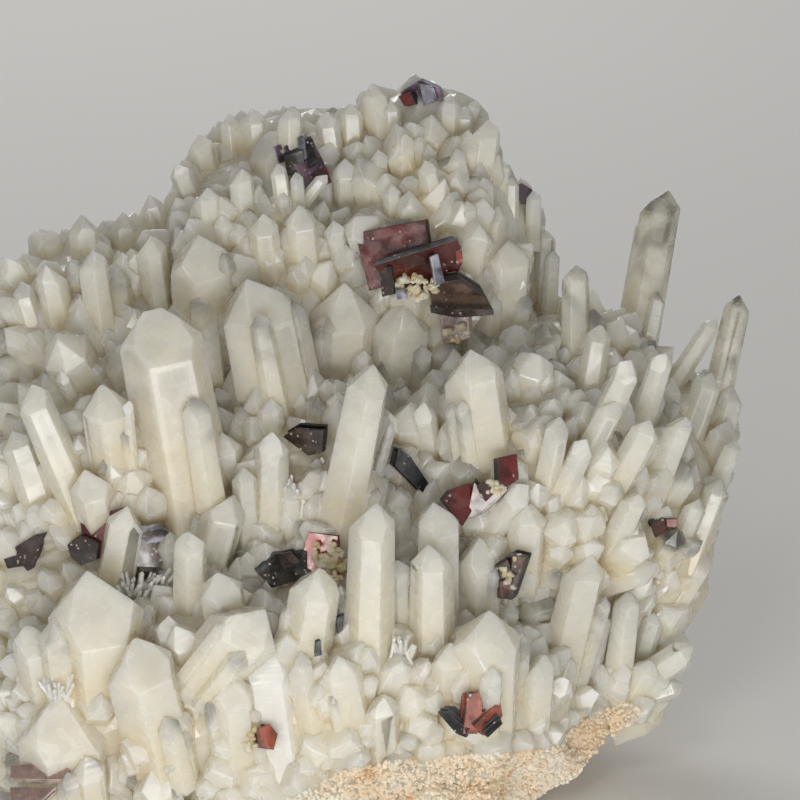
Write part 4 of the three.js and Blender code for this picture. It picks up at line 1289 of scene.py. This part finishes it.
def crusted(rock, quartz, rng):
    """The rock with small tan grains all over the crust, also where it lies on the foot of the quartz."""
    bm = bmesh.new()
    bm.from_mesh(rock)
    bm.from_mesh(quartz)
    tree = BVHTree.FromBMesh(bm)
    bm.free()
    bm = bmesh.new()
    bmesh.ops.create_icosphere(bm, subdivisions=1, radius=1)
    ball = np.array([v.co for v in bm.verts])
    faces = np.array([[v.index for v in face.verts] for face in bm.faces])
    bm.free()
    low, high = np.min(CRUST, axis=0), np.max(CRUST, axis=0)
    corners = [[v.co for v in rock.vertices]]
    triangles = [[list(p.vertices) for p in rock.polygons]]
    count = len(rock.vertices)
    for _ in range(CRUST_TRIES):
        place = rng.uniform(low, high)
        if not inside(place, CRUST):
            continue
        way = Vector(placed(place, 0) - CAMERA_PLACE).normalized()
        hit = tree.ray_cast(Vector(CAMERA_PLACE * MM), way)[0]
        if hit is None:
            continue
        size = rng.uniform(*CRUST_GRAIN_SIZE) * MM
        shape = rng.uniform(*CRUST_GRAIN_SHAPE, 3)
        rough = rng.uniform(*CRUST_GRAIN_ROUGHNESS, (len(ball), 1))
        corners.append(ball * shape * rough * size + np.array(hit - way * CRUST_SUNK * size))
        triangles.append((faces + count).tolist())
        count += len(ball)
    mesh = bpy.data.meshes.new("rock")
    mesh.from_pydata(np.concatenate(corners).tolist(), [], [face for made in triangles for face in made])
    return mesh


def needle_fans(cluster, rng, key):
    """Fans of fine needles on the massive quartz."""
    for fan in NEEDLE_FANS:
        depth = front_depth(fan.at)
        root = placed(fan.at, nearest_depth(fan.at) if depth is None else depth + FAN_PROUD)
        cluster.reserve(root + UPWARD)
        for _ in range(fan.count):
            turn = math.radians(fan.heading + rng.uniform(-fan.spread, fan.spread))
            lean = math.radians(rng.uniform(*NEEDLE_LEAN))
            flat_way = RIGHT * math.sin(turn) + UPWARD * math.cos(turn)
            way = unit(flat_way * math.cos(lean) + TOWARD * math.sin(lean))
            across, up = NEEDLE_FOOT
            start = root + RIGHT * rng.uniform(-across, across) + UPWARD * rng.uniform(-up, up)
            tip = start + way * (fan.length * rng.uniform(*NEEDLE_SHARE))
            width = rng.uniform(*NEEDLE_WIDTH)
            more = {"sink": NEEDLE_SINK, "small": True, "satin": NEEDLE_WHITENESS}
            add_crystal(start, tip, width, ROLL_RANGE * rng.random(), key, NEEDLE_CLEARNESS, **more)
            key += 1
    return key


def satellites(root, tip, width, key, rng):
    """Smaller crystals that grow side by side with a large one."""
    span = tip - root
    length = np.linalg.norm(span)
    axes = crystal_frame(span / length, 0)
    for k in range(SATELLITE_COUNTS[width > SATELLITE_MANY_WIDTH]):
        turn = rng.uniform(0, 2 * math.pi)
        out = axes[0] * math.cos(turn) + axes[1] * math.sin(turn)
        small = width * rng.uniform(*SATELLITE_WIDTH)
        foot = root + out * (width / 2 - small * SATELLITE_OVERLAP) + span * rng.uniform(*SATELLITE_START)
        height = length * rng.uniform(*SATELLITE_HEIGHT)
        end = foot + unit(span / length + out * rng.uniform(*SATELLITE_SPLAY)) * height
        if in_cad_box(end):
            roll = ROLL_RANGE * rng.random()
            add_crystal(foot, end, small, roll, key * SATELLITE_KEY_STEP + k, SATELLITE_CLEARNESS, sink=small)


class Nodes:
    """Short ways to add and link shader nodes."""

    def __init__(self, name):
        self.material = bpy.data.materials.new(name)
        self.material.use_nodes = True
        self.tree = self.material.node_tree
        self.shader = self.tree.nodes["Principled BSDF"]

    def node(self, kind, **settings):
        made = self.tree.nodes.new("ShaderNode" + kind)
        for name, value in settings.items():
            setattr(made, name, value)
        return made

    def link(self, out, into):
        self.tree.links.new(out, into)

    def put(self, value, socket):
        if isinstance(value, bpy.types.NodeSocket):
            self.link(value, socket)
        else:
            socket.default_value = value

    def place(self):
        return self.node("TexCoord").outputs["Object"]

    def attribute(self, name, output="Fac"):
        return self.node("Attribute", attribute_name=name).outputs[output]

    def math(self, operation, *values, clamp=False):
        made = self.node("Math", operation=operation, use_clamp=clamp)
        for value, socket in zip(values, made.inputs):
            self.put(value, socket)
        return made.outputs[0]

    def vector(self, operation, first, second, output=0):
        made = self.node("VectorMath", operation=operation)
        self.put(first, made.inputs[0])
        self.put(second, made.inputs[1])
        return made.outputs[output]

    def noise(self, scale, detail=3.0, roughness=0.55):
        made = self.node("TexNoise")
        self.link(self.place(), made.inputs["Vector"])
        made.inputs["Scale"].default_value = scale
        made.inputs["Detail"].default_value = detail
        made.inputs["Roughness"].default_value = roughness
        return made.outputs["Fac"]

    def cells(self, scale, output="Distance"):
        made = self.node("TexVoronoi")
        self.link(self.place(), made.inputs["Vector"])
        made.inputs["Scale"].default_value = scale
        return made.outputs[output]

    def spread(self, value, low, high, to_low=0.0, to_high=1.0):
        made = self.node("MapRange", interpolation_type="SMOOTHSTEP")
        names = ("Value", "From Min", "From Max", "To Min", "To Max")
        for given, name in zip((value, low, high, to_low, to_high), names):
            self.put(given, made.inputs[name])
        return made.outputs["Result"]

    def mix(self, share, first, second):
        made = self.node("Mix", data_type="RGBA")
        self.put(share, made.inputs["Factor"])
        self.put(first, made.inputs[6])
        self.put(second, made.inputs[7])
        return made.outputs[2]

    def two_tone(self, pattern, limits, tones):
        """Two display colours in patches."""
        first, second = tones
        return self.mix(self.spread(self.noise(*pattern), *limits), colour(*first), colour(*second))

    def bump(self, height, distance, strength):
        made = self.node("Bump")
        self.link(height, made.inputs["Height"])
        made.inputs["Distance"].default_value = distance * MM
        made.inputs["Strength"].default_value = strength
        return made.outputs["Normal"]

    def finish(self, **sockets):
        for name, value in sockets.items():
            self.put(value, self.shader.inputs[name.replace("_", " ")])
        return self.material


def colour(red, green, blue):
    """A display colour from 0 to 255 as the linear one that a shader takes."""
    linear = [((c / 255 + 0.055) / 1.055) ** 2.4 if c > 10 else c / 255 / 12.92 for c in (red, green, blue)]
    return (*linear, 1.0)


def quartz_look():
    n = Nodes("quartz")
    axis = n.attribute("grow_axis", "Vector")
    from_root = n.vector("SUBTRACT", n.place(), n.attribute("grow_root", "Vector"))
    height = n.vector("DOT_PRODUCT", from_root, axis, "Value")
    share = n.math("DIVIDE", height, n.attribute("grow_span"))
    satin = n.attribute("satin")
    veil = n.noise(*VEIL)
    wisps = n.noise(*WISPS)
    clear = n.math("MULTIPLY", n.attribute("clearness"), n.spread(share, *CLEAR_ALONG))
    clear = n.math("MULTIPLY", clear, n.spread(veil, *VEIL_SPREAD))
    clear = n.math("ADD", clear, n.attribute("window"), clamp=True)
    transmission = n.math("MULTIPLY", n.spread(clear, *TRANSMISSION_SPREAD), n.math("SUBTRACT", 1, satin))
    # Painted shade towards the roots of crystals; the same share also sets where the real stain gathers
    root_shade_and_stain = n.spread(share, *ROOT_SHADE_SPREAD)
    stain = n.spread(n.noise(*STAIN), *STAIN_SPREAD)
    body = n.mix(root_shade_and_stain, QUARTZ_BODY, QUARTZ_PAINTED_ROOT_SHADE)
    body = n.mix(n.math("MULTIPLY", stain, n.spread(root_shade_and_stain, *STAIN_SHARE)), body, QUARTZ_STAIN)
    # Painted sheen: a whiter base colour on the striated crystal that throws the main light, and on the
    # needles
    body = n.mix(satin, body, QUARTZ_WHITE_AND_PAINTED_SHEEN)
    lines = n.node("TexNoise", noise_dimensions="1D")
    n.link(height, lines.inputs["W"])
    lines.inputs["Scale"].default_value = GROOVES
    lines.inputs["Detail"].default_value = 0.0
    grooves = n.math("MULTIPLY", lines.outputs["Fac"], n.math("MULTIPLY_ADD", satin, *GROOVE_DEPTHS))
    relief = n.math("MULTIPLY_ADD", n.noise(*RIPPLES), RIPPLE_DEPTH, grooves)
    n.shader.inputs["Subsurface Radius"].default_value = QUARTZ_SCATTER_RADIUS
    n.shader.inputs["Subsurface Scale"].default_value = QUARTZ_SCATTER_SCALE * MM
    n.shader.distribution = "GGX"
    return n.finish(
        Base_Color=body,
        Transmission_Weight=transmission,
        Subsurface_Weight=n.math("MULTIPLY_ADD", satin, *QUARTZ_SCATTER),
        Roughness=n.spread(wisps, *WISPS_SPREAD),
        IOR=QUARTZ_IOR,
        Normal=n.bump(relief, *QUARTZ_RELIEF),
    )


def rock_look():
    n = Nodes("matrix_rock")
    body = n.two_tone(ROCK_PATCHES, ROCK_PATCH_SPREAD, ROCK_BODY)
    body = n.mix(n.spread(n.noise(*ROCK_DOTS), *ROCK_DOT_SPREAD), body, colour(*ROCK_PALE))
    body = n.mix(n.spread(n.noise(*ROCK_CLOUDS), *ROCK_CLOUD_SPREAD), body, colour(*ROCK_STAIN))
    split = n.node("SeparateColor")
    n.link(n.cells(ROCK_SPARKLES, output="Color"), split.inputs[0])
    roughness = n.spread(split.outputs[0], *SPARKLE_SPREAD)
    normal = n.bump(n.cells(ROCK_PITS), *ROCK_RELIEF)
    return n.finish(Base_Color=body, Roughness=roughness, Normal=normal, Subsurface_Weight=ROCK_SCATTER)


def huebnerite_look():
    n = Nodes("huebnerite")
    tint = n.attribute("tint", "Vector")
    edge = n.attribute("edge")
    patches = n.spread(n.noise(*PLATE_PATCHES), *PLATE_PATCH_SPREAD)
    shade = n.spread(patches, *PLATE_SHADE)
    body = n.vector("SCALE", tint, (0, 0, 0))
    n.link(shade, body.node.inputs["Scale"])
    dots = n.spread(n.cells(PLATE_DOTS), *PLATE_DOT_SPREAD)
    field = n.spread(n.noise(*PLATE_DOT_FIELD), *PLATE_DOT_FIELD_SPREAD)
    body = n.mix(n.math("MULTIPLY", dots, field), body, colour(*HUEBNERITE_SPECK))
    grain = n.math("MULTIPLY_ADD", n.noise(*PLATE_GRAIN), edge, n.noise(*PLATE_WAVES))
    polish = n.spread(n.noise(*PLATE_POLISH), *PLATE_POLISH_SPREAD)
    roughness = n.math("MULTIPLY_ADD", edge, PLATE_EDGE_ROUGHNESS, polish)
    silvery = n.spread(n.noise(*PLATE_METAL), *PLATE_METAL_SPREAD)
    metal = n.math("MULTIPLY", n.attribute("metal"), silvery)
    return n.finish(
        Base_Color=body,
        Roughness=roughness,
        Normal=n.bump(grain, *PLATE_RELIEF),
        IOR=HUEBNERITE_IOR,
        Metallic=metal,
        Transmission_Weight=n.math("MULTIPLY", n.attribute("clearness"), patches),
    )


def grain_look():
    n = Nodes("cream_grains")
    body = n.two_tone(CREAM_PATCHES, CREAM_SPREAD, CREAM_BODY)
    normal = n.bump(n.noise(*CREAM_GRAIN), *CREAM_RELIEF)
    return n.finish(
        Base_Color=body, Roughness=CREAM_ROUGHNESS, Subsurface_Weight=CREAM_SCATTER, Normal=normal
    )


def floor_look():
    n = Nodes("floor")
    first, second = FLOOR_BODY
    body = n.mix(n.noise(*FLOOR_PATCHES), colour(*first), colour(*second))
    return n.finish(Base_Color=body, Roughness=FLOOR_ROUGHNESS)


def world_light():
    world = bpy.data.worlds.new("studio")
    world.use_nodes = True
    bpy.context.scene.world = world
    background = world.node_tree.nodes["Background"]
    background.inputs["Color"].default_value = WORLD_COLOUR
    background.inputs["Strength"].default_value = WORLD_STRENGTH


def softbox(name, way, distance, size, power, tint):
    """A flat light that shines on the specimen, from a way given to the right, to the back and up."""
    data = bpy.data.lights.new(name, "AREA")
    data.shape = "RECTANGLE"
    data.size, data.size_y = size
    data.energy = power
    data.color = tint
    ob = in_scene(name, data)
    middle = Vector(TARGET * MM)
    ob.location = middle + Vector(way).normalized() * distance
    ob.rotation_mode = "QUATERNION"
    ob.rotation_quaternion = (ob.location - middle).to_track_quat("Z", "Y")
    ob.visible_camera = False


def camera():
    data = bpy.data.cameras.new("camera")
    data.sensor_width = SENSOR_WIDTH
    data.lens = SENSOR_WIDTH * VIEW_DISTANCE / PHOTO_WIDTH
    data.clip_start, data.clip_end = CAMERA_REACH
    ob = in_scene("camera", data)
    ob.location = Vector(CAMERA_PLACE * MM)
    ob.rotation_mode = "QUATERNION"
    ob.rotation_quaternion = Vector(TOWARD).to_track_quat("Z", "Y")
    bpy.context.scene.camera = ob


def floor():
    bm = bmesh.new()
    bmesh.ops.create_grid(bm, x_segments=1, y_segments=1, size=FLOOR_SIZE)
    mesh = mesh_of(bm, "floor")
    mesh.materials.append(floor_look())
    ob = in_scene("floor", mesh)
    ob.location.z = -FLOOR_DROP


camera()
rng = np.random.default_rng(SEED)

skin = skin_mesh()
points, normals = skin_samples(skin, SKIN_SAMPLES, rng)
points -= normals * SKIN_GROWTH * SKIN_SUNK

main = []
for key, crystal in enumerate(SHOWN_CRYSTALS):
    root, tip, roll = shown_ends(crystal)
    # The striated crystal gets the whiter base colour that paints its sheen
    more = {"bevel": CRYSTAL_BEVEL, "shows": crystal.shows, "satin": WHITE_AND_SHEEN_SHARE * (crystal.shows == "satin")}
    ob = add_crystal(root, tip, crystal.width, roll, key, crystal.clear, **more)
    main.append((ob, root, tip, crystal.width))
for key, crystal in enumerate(SMALL_CRYSTALS, FIRST_SMALL_KEY):
    root, tip, roll = shown_ends(crystal)
    if in_cad_box(tip):
        more = {"sink": SMALL_SINK, "bevel": SMALL_BEVEL, "shows": crystal.shows}
        add_crystal(root, tip, crystal.width, roll, key, crystal.clear, **more)
for key, (_, root, tip, width) in enumerate(list(main)):
    if width > SATELLITE_LEAST_WIDTH:
        satellites(root, tip, width, key, rng)

layers = {
    name: [ob for k, plate in enumerate(plates) for ob in plate_layers(plate, number * PLATE_KEY_STEP + k)]
    for number, (name, plates) in enumerate(HUEBNERITE.items())
}
plates, _ = search_tree([ob for made in layers.values() for ob in made])
cluster = Cluster(main, plates)
key = needle_fans(cluster, rng, FIRST_SCATTER_KEY)
for scatter_class in SCATTER_CLASSES:
    key = scatter(cluster, points, normals, *scatter_class, rng, key)

core = placed(*QUARTZ_CORE) * MM
mark(skin, grow_axis=UPWARD, grow_root=core, grow_span=SKIN_SPAN, clearness=0.0, satin=0.0)
quartz_mesh = joined_mesh("quartz", skin, quartz_parts)
quartz_mesh = joined_mesh("quartz", quartz_mesh, [block_below(QUARTZ_FLOOR)], "DIFFERENCE")
piece_of("quartz_crystals", quartz_mesh, quartz_look(), "quartz", "quartz_cluster")

piece_of("rock", crusted(rock_mesh(), quartz_mesh, rng), rock_look(), "rock", "matrix_rock")

dark_red = huebnerite_look()
for name, made in layers.items():
    mesh = joined_mesh(name, made[0].data, made[1:])
    piece_of(name + "_crystals", mesh, dark_red, "huebnerite", name)
cream = grain_look()
for name, patches in GRAINS.items():
    lumps = [lump for grains in patches for lump in grain_lumps(grains, rng)]
    piece_of(name + "_clump", joined_mesh(name, lumps[0].data, lumps[1:]), cream, "cream_grains", name)

floor()
world_light()
bpy.context.scene.view_settings.view_transform = "Standard"
for box in SOFTBOXES:
    softbox(*box)
